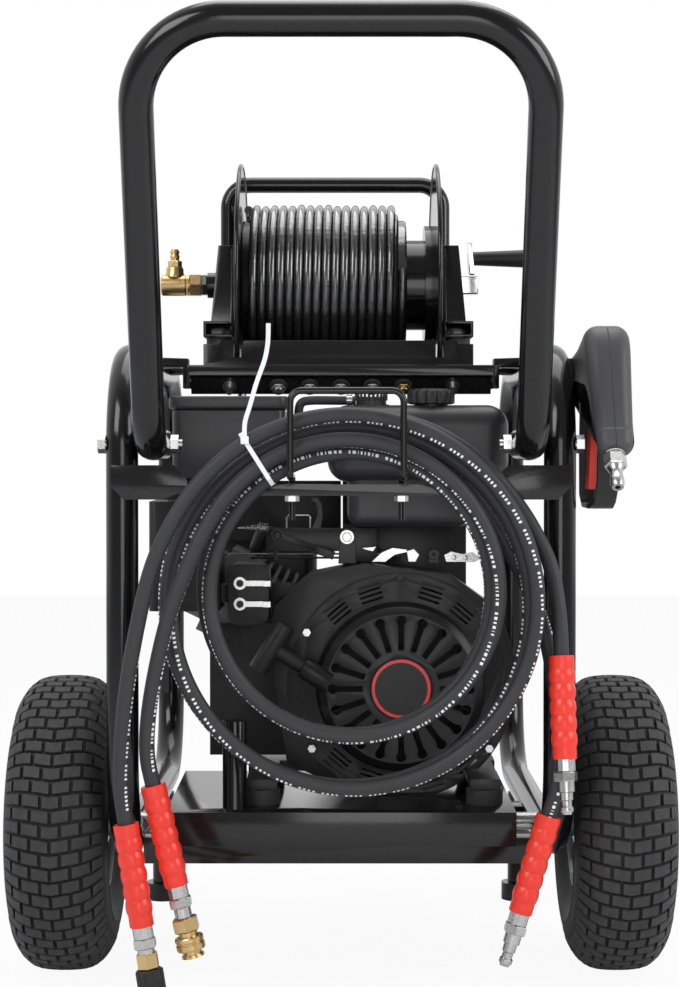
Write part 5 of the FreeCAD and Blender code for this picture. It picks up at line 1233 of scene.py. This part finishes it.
@dataclass
class Badge:
    """Bare round badge: a black disc inside a red ring."""

    x: float = 0.066
    z: float = 0.322
    face_y: float = -0.1256

    def build(self, shop: Shop) -> None:
        """Make the disc and the raised ring."""
        origin = Vector((self.x, self.face_y + 0.0026, self.z))
        toward = Vector((0, -1, 0))
        disc = bmesh.new()
        add_lathe(disc, [(0.0, 0.0), (0.0336, 0.0), (0.0338, 0.0014), (0.0330, 0.0022),
                         (0.0, 0.0022)], origin, toward, 72)
        item = shop.piece("badge_disc", mesh_from("badge_disc", disc), "moulded_plastic",
                          "black_plastic", Body.FRAME)
        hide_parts("recoil_badge")
        ring = bmesh.new()
        add_lathe(ring, [(0.0287, 0.0020), (0.0290, 0.0027), (0.0322, 0.0027), (0.0325, 0.0020),
                         (0.0287, 0.0020)], origin, toward, 72)
        shop.piece("badge_ring", mesh_from("badge_ring", ring), "signal_red", "red_plastic", Body.FRAME)


@dataclass
class CableTie:
    """White tie round both coils, with its long loose tail."""

    thickness: float = 0.0012
    width: float = 0.0046
    centre_x: float = 0.010
    centre_z: float = 0.423
    lean: float = 57.7
    near: float = 0.1488
    far: float = 0.2101
    front: float = -0.29056
    back: float = -0.23456
    head_reach: float = 0.2014

    def add_strap(self, build: bmesh.types.BMesh, line: list[Vector], across: Vector) -> None:
        """Flat strap along a line.

        Args:
            build: Mesh under construction.
            line: Points along the strap.
            across: Way of its width.
        """
        rings = []
        for index, spot in enumerate(line):
            before = line[max(index - 1, 0)]
            after = line[min(index + 1, len(line) - 1)]
            heading = (after - before).normalized()
            side = (across - heading * across.dot(heading)).normalized()
            out = heading.cross(side)
            wide, thin = side * self.width / 2, out * self.thickness / 2
            rings.append([build.verts.new(spot + a * wide + b * thin)
                          for a, b in ((-1, -1), (1, -1), (1, 1), (-1, 1))])
        add_skin(build, rings)

    def place(self, reach: float, y: float) -> Vector:
        """Point at a distance from the middle of the coils, along the tie."""
        angle = math.radians(self.lean)
        return Vector((self.centre_x - reach * math.cos(angle), y, self.centre_z + reach * math.sin(angle)))

    def build(self, shop: Shop) -> None:
        """Make the loop, the head and the tail."""
        build = bmesh.new()
        soft = 0.006
        corners = [(self.near + soft, self.front), (self.far - soft, self.front),
                   (self.far, self.front + soft), (self.far, self.back - soft),
                   (self.far - soft, self.back), (self.near + soft, self.back),
                   (self.near, self.back - soft), (self.near, self.front + soft),
                   (self.near + soft, self.front)]
        across = Vector((math.sin(math.radians(self.lean)), 0, math.cos(math.radians(self.lean))))
        self.add_strap(build, [self.place(*corner) for corner in corners], across)
        head = self.place(self.head_reach, self.front - 0.0008)
        bows = [(0, 0, 0), (0.0002, -0.001, 0.018), (0.0055, -0.001, 0.036), (0.0105, 0.0, 0.054),
                (0.0145, 0.0006, 0.066), (0.0205, 0.0008, 0.083), (0.0235, 0.0008, 0.100),
                (0.0240, 0.0008, 0.119)]
        tail = smooth_line([tuple(head + Vector(bow)) for bow in bows], 6)
        self.add_strap(build, tail, Vector((1, 0, -0.2)))
        add_block(build, head - Vector((0.0042, 0.0030, 0.0036)), head + Vector((0.0042, 0.0010, 0.0046)),
                  0.0012)
        mesh = mesh_from("tie_strap", build)
        item = shop.piece("tie_strap", mesh, "white_nylon", "white_plastic", Body.FRAME, 30)
        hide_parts("cable_tie")


@dataclass
class Softened:
    """Copy of a CAD node with its sharp edges rounded as the real casting or moulding is."""

    node: str
    finish: str
    slot: str
    body: Body
    width: float = 0.002
    segments: int = 2
    weld: float = 2e-5
    flat: float = 1.5
    sharp: float = 32.0

    def build(self, shop: Shop, nodes: dict[str, bpy.types.Object]) -> None:
        """Copy the node's mesh, clean it and round its edges.

        Args:
            shop: Materials and placing.
            nodes: The frame's nodes by name.
        """
        build = bmesh.new()
        build.from_mesh(nodes[self.node].data)
        bmesh.ops.remove_doubles(build, verts=build.verts, dist=self.weld)
        bmesh.ops.dissolve_limit(build, angle_limit=math.radians(self.flat), verts=build.verts,
                                 edges=build.edges)
        limit = math.radians(self.sharp)
        edges = [edge for edge in build.edges
                 if len(edge.link_faces) == 2 and edge.calc_face_angle(0.0) > limit]
        bmesh.ops.bevel(build, geom=edges, offset=self.width, segments=self.segments,
                        affect="EDGES", profile=0.5, clamp_overlap=True)
        mesh = mesh_from(f"{self.node}_rounded", build)
        item = shop.piece(f"{self.node}_rounded", mesh, self.finish, self.slot, self.body, 35)
        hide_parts(self.node)


SOFTENED = (
    Softened("fan_shroud", "satin_engine_paint", "engine_black", Body.FRAME, 0.0030, 3),
    Softened("recoil_cover", "satin_engine_paint", "engine_black", Body.FRAME, 0.0010, 2),
    Softened("crankcase", "satin_engine_paint", "engine_black", Body.FRAME, 0.0030, 2),
    Softened("governor_plate", "satin_engine_paint", "engine_black", Body.FRAME, 0.0008, 2),
    Softened("muffler", "satin_engine_paint", "engine_black", Body.FRAME, 0.0040, 3),
    Softened("air_cleaner", "tank_plastic", "black_plastic", Body.FRAME, 0.0030, 3),
    Softened("air_canister", "moulded_plastic", "black_plastic", Body.FRAME, 0.0018, 2),
    Softened("carburettor", "moulded_plastic", "black_plastic", Body.FRAME, 0.0012, 2),
    Softened("pump_case", "cast_alloy", "cast_alloy", Body.FRAME, 0.0025, 3),
    Softened("base_tray", "gloss_frame_paint", "black_paint", Body.FRAME, 0.0012, 2),
    Softened("reel_shelf", "gloss_frame_paint", "black_paint", Body.FRAME, 0.0008, 2),
    Softened("reel_stands", "gloss_frame_paint", "black_paint", Body.FRAME, 0.0008, 2),
    Softened("upper_crossbar", "gloss_frame_paint", "black_paint", Body.FRAME, 0.0008, 2),
    Softened("reel_crank", "chrome_plate", "chrome", Body.REEL, 0.0010, 2),
    Softened("starter_grip", "moulded_plastic", "black_plastic", Body.STARTER_GRIP, 0.0022, 3),
    Softened("throttle_lever", "satin_engine_paint", "black_plastic", Body.THROTTLE, 0.0008, 2),
    Softened("spark_plug_cap", "moulded_plastic", "black_plastic", Body.FRAME, 0.0015, 2),
)


@dataclass
class NozzleRow:
    """Five spare nozzles in rubber grommets on the sloping panel."""

    pitch: float = 0.0355
    count: int = 5
    row_y: float = -0.03025
    row_z: float = 0.65796
    slope: float = 40.0

    def build(self, shop: Shop) -> None:
        """Make the grommets, four zinc nozzles and the brass one."""
        tilt = math.radians(self.slope)
        way = Vector((0, -math.cos(tilt), -math.sin(tilt)))
        rubber, zinc, brass = bmesh.new(), bmesh.new(), bmesh.new()
        for index in range(self.count):
            spot = Vector(((index - (self.count - 1) / 2) * self.pitch, self.row_y, self.row_z))
            add_lathe(rubber, [(0.0071, 0.0004), (0.0092, 0.0004), (0.0102, 0.0012), (0.0102, 0.0024),
                               (0.0088, 0.0034), (0.0071, 0.0030), (0.0071, 0.0004)], spot, way, 36)
            metal = brass if index == self.count - 1 else zinc
            add_lathe(metal, [(0.0, -0.014), (0.0055, -0.014), (0.0070, -0.012), (0.0070, 0.0045),
                              (0.0, 0.0045)], spot, way, 32)
            add_prism(metal, spot + way * 0.0040, way, 0.0086, 0.0050, 6, 0.0008)
            add_lathe(metal, [(0.0, 0.0), (0.0056, 0.0), (0.0056, 0.0022), (0.0048, 0.0038),
                              (0.0030, 0.0046), (0.0012, 0.0046), (0.0012, 0.0020), (0.0, 0.0020)],
                      spot + way * 0.0088, way, 28)
        item = shop.piece("nozzle_rubbers", mesh_from("nozzle_rubbers", rubber), "mount_rubber",
                          "soft_rubber", Body.FRAME)
        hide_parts("nozzle_grommets")
        item = shop.piece("zinc_nozzles", mesh_from("zinc_nozzles", zinc), "zinc_plate", "zinc",
                          Body.FRAME, 28)
        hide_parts("jet_nozzles")
        shop.piece("brass_nozzle", mesh_from("brass_nozzle", brass), "machined_brass", "brass",
                   Body.FRAME, 28)


@dataclass
class ReelSwivel:
    """Turned brass swivel with its elbow, hexagons and hose barb."""

    left_x: float = -0.213
    axis_y: float = 0.075
    axis_z: float = 0.779
    elbow_x: float = -0.197

    def build(self, shop: Shop) -> None:
        """Make the body, the steel nut and the elbow."""
        along, upward = Vector((1, 0, 0)), Vector((0, 0, 1))
        start = Vector((self.left_x, self.axis_y, self.axis_z))
        build = bmesh.new()
        add_lathe(build, [(0.0, 0.0), (0.0108, 0.0), (0.0122, 0.0014), (0.0124, 0.004), (0.0124, 0.0285),
                          (0.0118, 0.0296), (0.0118, 0.0306), (0.0124, 0.0316), (0.0124, 0.0332),
                          (0.0, 0.0332)], start, along, 48)
        add_prism(build, start + along * 0.0332, along, 0.0140, 0.0150, 6, 0.0012)
        elbow = Vector((self.elbow_x, self.axis_y, self.axis_z + 0.0095))
        add_lathe(build, [(0.0, 0.0), (0.0112, 0.0), (0.0112, 0.0035), (0.0104, 0.0050), (0.0104, 0.0095),
                          (0.0088, 0.0125), (0.0, 0.0125)], elbow, upward, 40)
        add_prism(build, elbow + upward * 0.0120, upward, 0.0084, 0.0075, 6, 0.0008)
        add_lathe(build, [(0.0, 0.0), (0.0052, 0.0), (0.0052, 0.0035), (0.0060, 0.0045), (0.0046, 0.0085),
                          (0.0060, 0.0095), (0.0044, 0.0135), (0.0034, 0.0140), (0.0024, 0.0140),
                          (0.0024, 0.008), (0.0, 0.008)], elbow + upward * 0.0193, upward, 32)
        item = shop.piece("swivel_brass", mesh_from("swivel_brass", build), "machined_brass", "brass",
                          Body.FRAME, 28)
        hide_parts("reel_swivel")
        nut = bmesh.new()
        add_prism(nut, start + along * 0.0480, along, 0.0136, 0.0068, 6, 0.0012)
        shop.piece("swivel_nut_steel", mesh_from("swivel_nut_steel", nut), "chrome_plate", "chrome",
                   Body.FRAME, 28)


@dataclass
class TankFittings:
    """Lobed fuel cap, vent hose with its clamp and the ribbed vent cover."""

    cap_x: float = 0.101
    cap_y: float = -0.059
    cap_low: float = 0.635
    cap_radius: float = 0.0268
    cap_height: float = 0.0178
    lobes: int = 12
    hose_radius: float = 0.005

    def cap(self, shop: Shop) -> None:
        """Cap with round grip lobes and a dished top."""
        build = bmesh.new()
        sides = self.lobes * 12
        levels = [(-0.0040, 0.0), (0.0, 0.0012), (0.0, 0.0120), (-0.0014, 0.0150), (-0.0040, 0.0168),
                  (-0.0080, self.cap_height), (-0.0140, 0.0160)]
        rings = []
        for grow, height in levels:
            ring = []
            for index in range(sides):
                angle = 2 * math.pi * index / sides
                lobe = abs(math.cos(angle * self.lobes / 2)) ** 0.5
                waist = 0.0024 * (1 - lobe) * (1 if grow > -0.005 else 0)
                reach = self.cap_radius + grow - waist
                ring.append(build.verts.new((self.cap_x + reach * math.cos(angle),
                                             self.cap_y + reach * math.sin(angle),
                                             self.cap_low + height)))
            rings.append(ring)
        add_skin(build, rings)
        item = shop.piece("fuel_cap_lobed", mesh_from("fuel_cap_lobed", build), "moulded_plastic",
                          "black_plastic", Body.FUEL_CAP, 34)
        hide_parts("fuel_cap")

    def hose(self, shop: Shop) -> None:
        """Bent vent hose with a zinc clamp at the vent."""
        low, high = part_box("vent_hose")
        middle_y = (low.y + high.y) / 2
        corner = low.x + 0.014
        top, foot = high.z - self.hose_radius, low.z + self.hose_radius
        route = [(high.x, middle_y, top), (high.x - 0.020, middle_y, top), (corner + 0.014, middle_y, top),
                 (corner + 0.003, middle_y, top - 0.003), (corner, middle_y, top - 0.014),
                 (corner, middle_y, foot + 0.014), (corner - 0.003, middle_y, foot + 0.004),
                 (low.x, middle_y, foot)]
        build = bmesh.new()
        add_tube(build, smooth_line(route, 6), self.hose_radius, 20)
        item = shop.piece("vent_tube", mesh_from("vent_tube", build), "hose_rubber", "soft_rubber",
                          Body.FRAME, 60)
        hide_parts("vent_hose")
        clamp = bmesh.new()
        back = Vector((-1, 0, 0))
        spot = Vector((high.x - 0.004, middle_y, top))
        add_lathe(clamp, [(0.0051, 0.0), (0.0062, 0.0), (0.0062, 0.0065), (0.0051, 0.0065),
                          (0.0051, 0.0)], spot, back, 28)
        for lift in (0.0, 0.0045):
            add_block(clamp, spot + Vector((-0.0062 + lift, -0.0015, 0.0055)),
                      spot + Vector((-0.0048 + lift, 0.0015, 0.0105)), 0.0003)
        shop.piece("vent_clamp", mesh_from("vent_clamp", clamp), "zinc_plate", "zinc", Body.FRAME, 30)

    def vent_cover(self, shop: Shop) -> None:
        """Slotted ring round the vent disc."""
        build = bmesh.new()
        low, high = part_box("vent_hose")
        centre = Vector((high.x + 0.0173, (low.y + high.y) / 2, high.z - 0.0050))
        for index in range(22):
            angle = 2 * math.pi * index / 22
            spot = centre + Vector((0.0172 * math.cos(angle), 0.0172 * math.sin(angle), 0.0))
            add_prism(build, spot, Vector((0, 0, 1)), 0.0013, 0.0072, 8, 0.0003)
        shop.piece("vent_ribs", mesh_from("vent_ribs", build), "moulded_plastic", "black_plastic",
                   Body.FRAME, 30)

    def build(self, shop: Shop) -> None:
        """Make all three."""
        self.cap(shop)
        self.hose(shop)
        self.vent_cover(shop)


def add_plate(build: bmesh.types.BMesh, outline: list[tuple[float, float]], front: float,
              thickness: float, bevel: float = 0.0003) -> None:
    """Flat plate from an outline in X and Z, with broken edges.

    Args:
        build: Mesh under construction.
        outline: Corners as X and Z, in order.
        front: Y of its front face.
        thickness: How deep it is.
        bevel: Size of the broken edges.
    """
    near = [build.verts.new((x, front, z)) for x, z in outline]
    far = [build.verts.new((x, front + thickness, z)) for x, z in outline]
    faces = [build.faces.new(near), build.faces.new(list(reversed(far)))]
    count = len(outline)
    for index in range(count):
        after = (index + 1) % count
        faces.append(build.faces.new([near[index], far[index], far[after], near[after]]))
    edges = list({edge for face in faces for edge in face.edges})
    bmesh.ops.bevel(build, geom=edges, offset=bevel, segments=1, affect="EDGES")


@dataclass
class Linkage:
    """Small springs, wires and levers of the speed control round the governor plate."""

    plate_y: float = -0.060
    plate_top: float = 0.496
    rod_y: float = -0.054
    rod_z: float = 0.4668

    def spring(self, build: bmesh.types.BMesh) -> None:
        """Add the tapered spring with its hooked ends."""
        line = [Vector((-0.116, self.plate_y - 0.003, 0.4965))]
        turns, steps = 11, 14
        for index in range(turns * steps + 1):
            share = index / (turns * steps)
            angle = 2 * math.pi * index / steps
            reach = 0.0012 + 0.0034 * share
            line.append(Vector((-0.111 + 0.030 * share, self.plate_y - 0.003 + reach * math.cos(angle),
                                0.4965 + reach * math.sin(angle))))
        line.append(Vector((-0.0785, self.plate_y - 0.001, 0.4940)))
        add_tube(build, line, 0.0007, 6)

    def wires(self, build: bmesh.types.BMesh) -> None:
        """Add the wire frame over the plate and the long rod under it."""
        top, left, right = 0.5105, -0.0610, -0.0345
        y = self.plate_y + 0.0015
        frame = [(left, y, self.plate_top - 0.002), (left, y, top - 0.002), (left + 0.002, y, top),
                 (right - 0.002, y, top), (right, y, top - 0.002), (right, y, self.plate_top - 0.002)]
        add_tube(build, [Vector(spot) for spot in frame], 0.0009, 8)
        rod = [(-0.131, self.rod_y + 0.006, self.rod_z - 0.002), (-0.128, self.rod_y, self.rod_z),
               (0.064, self.rod_y, self.rod_z), (0.066, self.rod_y, self.rod_z + 0.006)]
        add_tube(build, [Vector(spot) for spot in rod], 0.0011, 8)

    def levers(self, build: bmesh.types.BMesh) -> None:
        """Add the bent steel levers right of the plate."""
        y = self.plate_y - 0.002
        add_plate(build, [(0.034, 0.458), (0.050, 0.458), (0.060, 0.4665), (0.074, 0.4690), (0.074, 0.4720),
                          (0.058, 0.4740), (0.046, 0.4690)], y, 0.0016)
        add_plate(build, [(0.022, 0.4740), (0.036, 0.4745), (0.040, 0.4760), (0.036, 0.4700),
                          (0.030, 0.4715)], y - 0.003, 0.0012)
        add_plate(build, [(0.076, 0.458), (0.084, 0.458), (0.088, 0.4660), (0.082, 0.4725),
                          (0.074, 0.4700)], y + 0.004, 0.0016)
        add_plate(build, [(0.118, 0.458), (0.150, 0.458), (0.158, 0.4625), (0.148, 0.4690), (0.136, 0.4665),
                          (0.124, 0.4700), (0.116, 0.4660)], y, 0.0016)
        for x in (0.127, 0.140):
            add_lathe(build, [(0.0, 0.0), (0.0028, 0.0), (0.0028, 0.0016), (0.0, 0.0022)],
                      Vector((x, y - 0.0002, 0.4630)), Vector((0, -1, 0)), 16)

    def straps(self, build: bmesh.types.BMesh) -> None:
        """Add the black strap, the bolt lug and the cable anchor."""
        y = self.plate_y + 0.0005
        add_plate(build, [(-0.0330, 0.4955), (-0.0230, 0.4955), (-0.0205, 0.5100), (-0.0215, 0.5230),
                          (-0.0260, 0.5300), (-0.0330, 0.5300), (-0.0330, 0.5260), (-0.0285, 0.5250),
                          (-0.0262, 0.5180), (-0.0262, 0.5100)], y, 0.0022)
        add_plate(build, [(-0.0030, 0.4560), (0.0170, 0.4560), (0.0155, 0.4860), (0.0125, 0.4935),
                          (0.0067, 0.4960), (0.0010, 0.4935), (-0.0015, 0.4860)], self.plate_y - 0.0032,
                  0.0030, 0.0006)
        add_lathe(build, [(0.0025, 0.0), (0.0058, 0.0), (0.0062, 0.0006), (0.0062, 0.0054),
                          (0.0055, 0.0062), (0.0025, 0.0062), (0.0025, 0.0)],
                  Vector((0.104, self.plate_y + 0.002, 0.4665)), Vector((0, -1, 0)), 28)
        add_plate(build, [(0.098, 0.457), (0.110, 0.457), (0.1085, 0.4640), (0.0995, 0.4640)],
                  self.plate_y - 0.002, 0.0030)

    def build(self, shop: Shop) -> None:
        """Make every part of the linkage."""
        metal = bmesh.new()
        self.spring(metal)
        self.wires(metal)
        self.levers(metal)
        head = Vector((0.0067, self.plate_y - 0.0034, 0.4862))
        add_lathe(metal, [(0.0, 0.0), (0.0074, 0.0), (0.0078, 0.0008), (0.0078, 0.0016), (0.0, 0.0016)],
                  head, Vector((0, -1, 0)), 30)
        add_prism(metal, head + Vector((0, -0.0014, 0)), Vector((0, -1, 0)), 0.0056, 0.0044, 6, 0.0007)
        shop.piece("linkage_steel", mesh_from("linkage_steel", metal), "zinc_plate", "zinc",
                   Body.FRAME, 30)
        dark = bmesh.new()
        self.straps(dark)
        shop.piece("linkage_black", mesh_from("linkage_black", dark), "satin_engine_paint",
                   "engine_black", Body.FRAME, 30)


@dataclass
class SprayGun:
    """Grip, guard, trigger and inlet of the spray gun, seen end on."""

    middle_x: float = 0.281
    rear_y: float = -0.267
    low_z: float = 0.510
    rounding: float = 0.015
    lip_z: float = 0.590
    flare_height: float = 0.100
    half_at_lip: float = 0.0195
    half_at_hump: float = 0.024
    shift_at_lip: float = 0.0015
    shift_at_hump: float = -0.001
    steps: int = 5

    def share_up(self, z: float) -> float:
        """Share of the way from the lip to the hump, from 0 to 1."""
        return min(1.0, max(0.0, (z - self.lip_z) / self.flare_height))

    def half_width(self, z: float) -> float:
        """Half of the body's width at a height, widest at the hump."""
        return self.half_at_lip + (self.half_at_hump - self.half_at_lip) * self.share_up(z)

    def shift(self, z: float) -> float:
        """Lean of the middle plane at a height."""
        return self.shift_at_lip + (self.shift_at_hump - self.shift_at_lip) * self.share_up(z)

    def outline(self) -> list[tuple[float, float]]:
        """Closed smooth side outline of grip, hump and barrel, as Y and Z."""
        corners = [(0.0015, 0.088), (0.0, 0.080), (0.004, 0.071), (0.014, 0.068), (0.034, 0.084),
                   (0.052, 0.112), (0.078, 0.128), (0.110, 0.130), (0.150, 0.134), (0.220, 0.137),
                   (0.290, 0.140), (0.299, 0.146), (0.299, 0.170), (0.290, 0.176), (0.220, 0.182),
                   (0.150, 0.189), (0.100, 0.199), (0.072, 0.205), (0.054, 0.200), (0.040, 0.184),
                   (0.028, 0.154), (0.014, 0.116), (0.007, 0.099), (0.004, 0.095)]
        count = len(corners)
        outline = []
        for index in range(count):
            a, b, c, e = (Vector(corners[(index + step) % count]) for step in (-1, 0, 1, 2))
            for step in range(self.steps):
                spot = between(a, b, c, e, step / self.steps)
                outline.append((self.rear_y + spot.x, self.low_z + spot.y))
        return outline

    def inset(self, outline: list[tuple[float, float]], depth: float) -> list[tuple[float, float]]:
        """Move the outline inward.

        Args:
            outline: Closed outline as Y and Z.
            depth: How far.

        Returns:
            The smaller outline.
        """
        count = len(outline)
        moved = []
        for index, (y, z) in enumerate(outline):
            before, after = outline[index - 3], outline[(index + 3) % count]
            run, rise = after[0] - before[0], after[1] - before[1]
            size = math.hypot(run, rise)
            moved.append((y - rise / size * depth, z + run / size * depth))
        return moved

    def body(self, shop: Shop) -> bpy.types.Object:
        """Rounded two-part shell with the joint line down its middle."""
        build = bmesh.new()
        outline = self.outline()
        levels = [(1.0, self.rounding)]
        for angle in (72, 54, 38, 24, 12, 0):
            turn = math.radians(angle)
            levels.append((1 - self.rounding / self.half_at_hump * (1 - math.sin(turn)),
                           self.rounding * (1 - math.cos(turn))))
        levels += [(0.2, 0.0), (0.03, 0.0), (0.0, 0.0006)]
        levels += [(-across, depth) for across, depth in reversed(levels[:-1])]
        rings = []
        for across, depth in levels:
            ring = []
            for y, z in self.inset(outline, depth):
                x = self.middle_x + self.shift(z) + across * self.half_width(z)
                ring.append(build.verts.new((x, y, z)))
            rings.append(ring)
        add_skin(build, rings)
        barrel = Vector((self.middle_x, self.rear_y + 0.297, self.low_z + 0.158))
        add_lathe(build, [(0.0, 0.0), (0.012, 0.0), (0.012, 0.012), (0.009, 0.014), (0.009, 0.046),
                          (0.008, 0.048), (0.0, 0.048)], barrel, Vector((0, 1, 0)), 32)
        return shop.piece("gun_shell", mesh_from("gun_shell", build), "gun_plastic", "black_plastic",
                          Body.FRAME, 32)

    def guard(self, shop: Shop) -> None:
        """Bent guard in front of the trigger, wider on its far side."""
        build = bmesh.new()
        stations = [(0.030, 0.092, -0.0130, 0.0160), (0.050, 0.068, -0.0125, 0.0150),
                    (0.058, 0.040, -0.0120, 0.0120), (0.066, 0.020, -0.0140, 0.0095),
                    (0.078, 0.0145, -0.0190, 0.0085), (0.120, 0.0150, -0.0205, 0.0085),
                    (0.134, 0.026, -0.0215, 0.0100), (0.132, 0.070, -0.0220, 0.0140),
                    (0.126, 0.125, -0.0220, 0.0180)]
        half, chamfer = 0.0030, 0.0010
        rings = []
        for index, (y, z, left, right) in enumerate(stations):
            before, after = stations[max(index - 1, 0)], stations[min(index + 1, len(stations) - 1)]
            run, rise = after[0] - before[0], after[1] - before[1]
            size = math.hypot(run, rise)
            out = Vector((0, -rise / size, run / size))
            middle = Vector((self.middle_x, self.rear_y + y, self.low_z + z))
            spots = [(left, -half + chamfer), (left + chamfer, -half), (right - chamfer, -half),
                     (right, -half + chamfer), (right, half - chamfer), (right - chamfer, half),
                     (left + chamfer, half), (left, half - chamfer)]
            rings.append([build.verts.new(middle + Vector((x, 0, 0)) + out * thick) for x, thick in spots])
        add_skin(build, rings)
        bmesh.ops.subdivide_edges(build, edges=build.edges, cuts=1, use_grid_fill=True, smooth=0.4)
        shop.piece("gun_guard", mesh_from("gun_guard", build), "moulded_plastic", "black_plastic",
                   Body.FRAME, 40)

    def trigger(self, shop: Shop) -> None:
        """Long curved red trigger on its pin."""
        build = bmesh.new()
        side = smooth_line([(0.094, 0, 0.032), (0.099, 0, 0.052), (0.104, 0, 0.080), (0.108, 0, 0.106),
                            (0.110, 0, 0.122)], 5)
        rings = []
        for index, spot in enumerate(side):
            share = index / (len(side) - 1)
            thick = 0.0042 + 0.0026 * share
            left, right = -0.0195 + 0.006 * share, 0.0080
            middle = Vector((self.middle_x, self.rear_y + spot.x, self.low_z + spot.z))
            spots = [(left, 0.0), (left + 0.003, -thick), (right - 0.003, -thick), (right, 0.0),
                     (right - 0.001, thick * 0.7), (left + 0.001, thick * 0.7)]
            rings.append([build.verts.new(middle + Vector((x, y, 0))) for x, y in spots])
        add_skin(build, rings)
        item = shop.piece("gun_lever", mesh_from("gun_lever", build), "trigger_red", "red_plastic",
                          Body.TRIGGER, 50)
        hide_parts("gun_trigger")

    def inlet(self, shop: Shop) -> None:
        """Zinc nut and nipple that the hose screws on."""
        way = Vector((0, -0.64, -0.768)).normalized()
        start = Vector((self.middle_x, self.rear_y + 0.006, self.low_z + 0.071)) + way * 0.0015
        build = bmesh.new()
        add_lathe(build, [(0.0, 0.0), (0.0095, 0.0), (0.0112, 0.0015), (0.0112, 0.0035), (0.0, 0.0035)],
                  start, way, 36)
        add_prism(build, start + way * 0.0035, way, 0.0120, 0.0150, 6, 0.0014)
        add_lathe(build, [(0.0, 0.0), (0.0088, 0.0), (0.0074, 0.003), (0.0066, 0.005), (0.0066, 0.0125),
                          (0.0074, 0.0145), (0.0074, 0.0205), (0.0064, 0.0240), (0.0060, 0.0255),
                          (0.0028, 0.0255), (0.0028, 0.012), (0.0, 0.012)], start + way * 0.0185, way, 40)
        item = shop.piece("gun_nipple", mesh_from("gun_nipple", build), "zinc_plate", "zinc",
                          Body.FRAME, 28)
        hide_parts("gun_inlet")

    def build(self, shop: Shop) -> None:
        """Make the whole gun."""
        shell = self.body(shop)
        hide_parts("gun_body")
        self.guard(shop)
        self.trigger(shop)
        self.inlet(shop)


class Machine:
    """The whole visual model, in the order in which it is put together."""

    def __init__(self) -> None:
        """Load the frame and build the finishes."""
        self.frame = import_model()
        self.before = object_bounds()
        self.shop = Shop()

    def build(self) -> None:
        """Build the stage and every piece."""
        Studio().build()
        self.shop.dress_nodes(self.frame["nodes"])
        ConnectorHoses().build(self.shop)
        Tyre("left_tyre", Body.LEFT_WHEEL, -0.307).build(self.shop)
        Tyre("right_tyre", Body.RIGHT_WHEEL, 0.307).build(self.shop)
        ReelHose().build(self.shop)
        Badge().build(self.shop)
        CableTie().build(self.shop)
        SprayGun().build(self.shop)
        NozzleRow().build(self.shop)
        ReelSwivel().build(self.shop)
        TankFittings().build(self.shop)
        Linkage().build(self.shop)
        for copy in SOFTENED:
            copy.build(self.shop, self.frame["nodes"])


def main() -> None:
    """Build the model."""
    logging.basicConfig(level=logging.INFO, format="%(name)s: %(message)s")
    machine = Machine()
    machine.build()


if __name__ == "__main__":
    main()
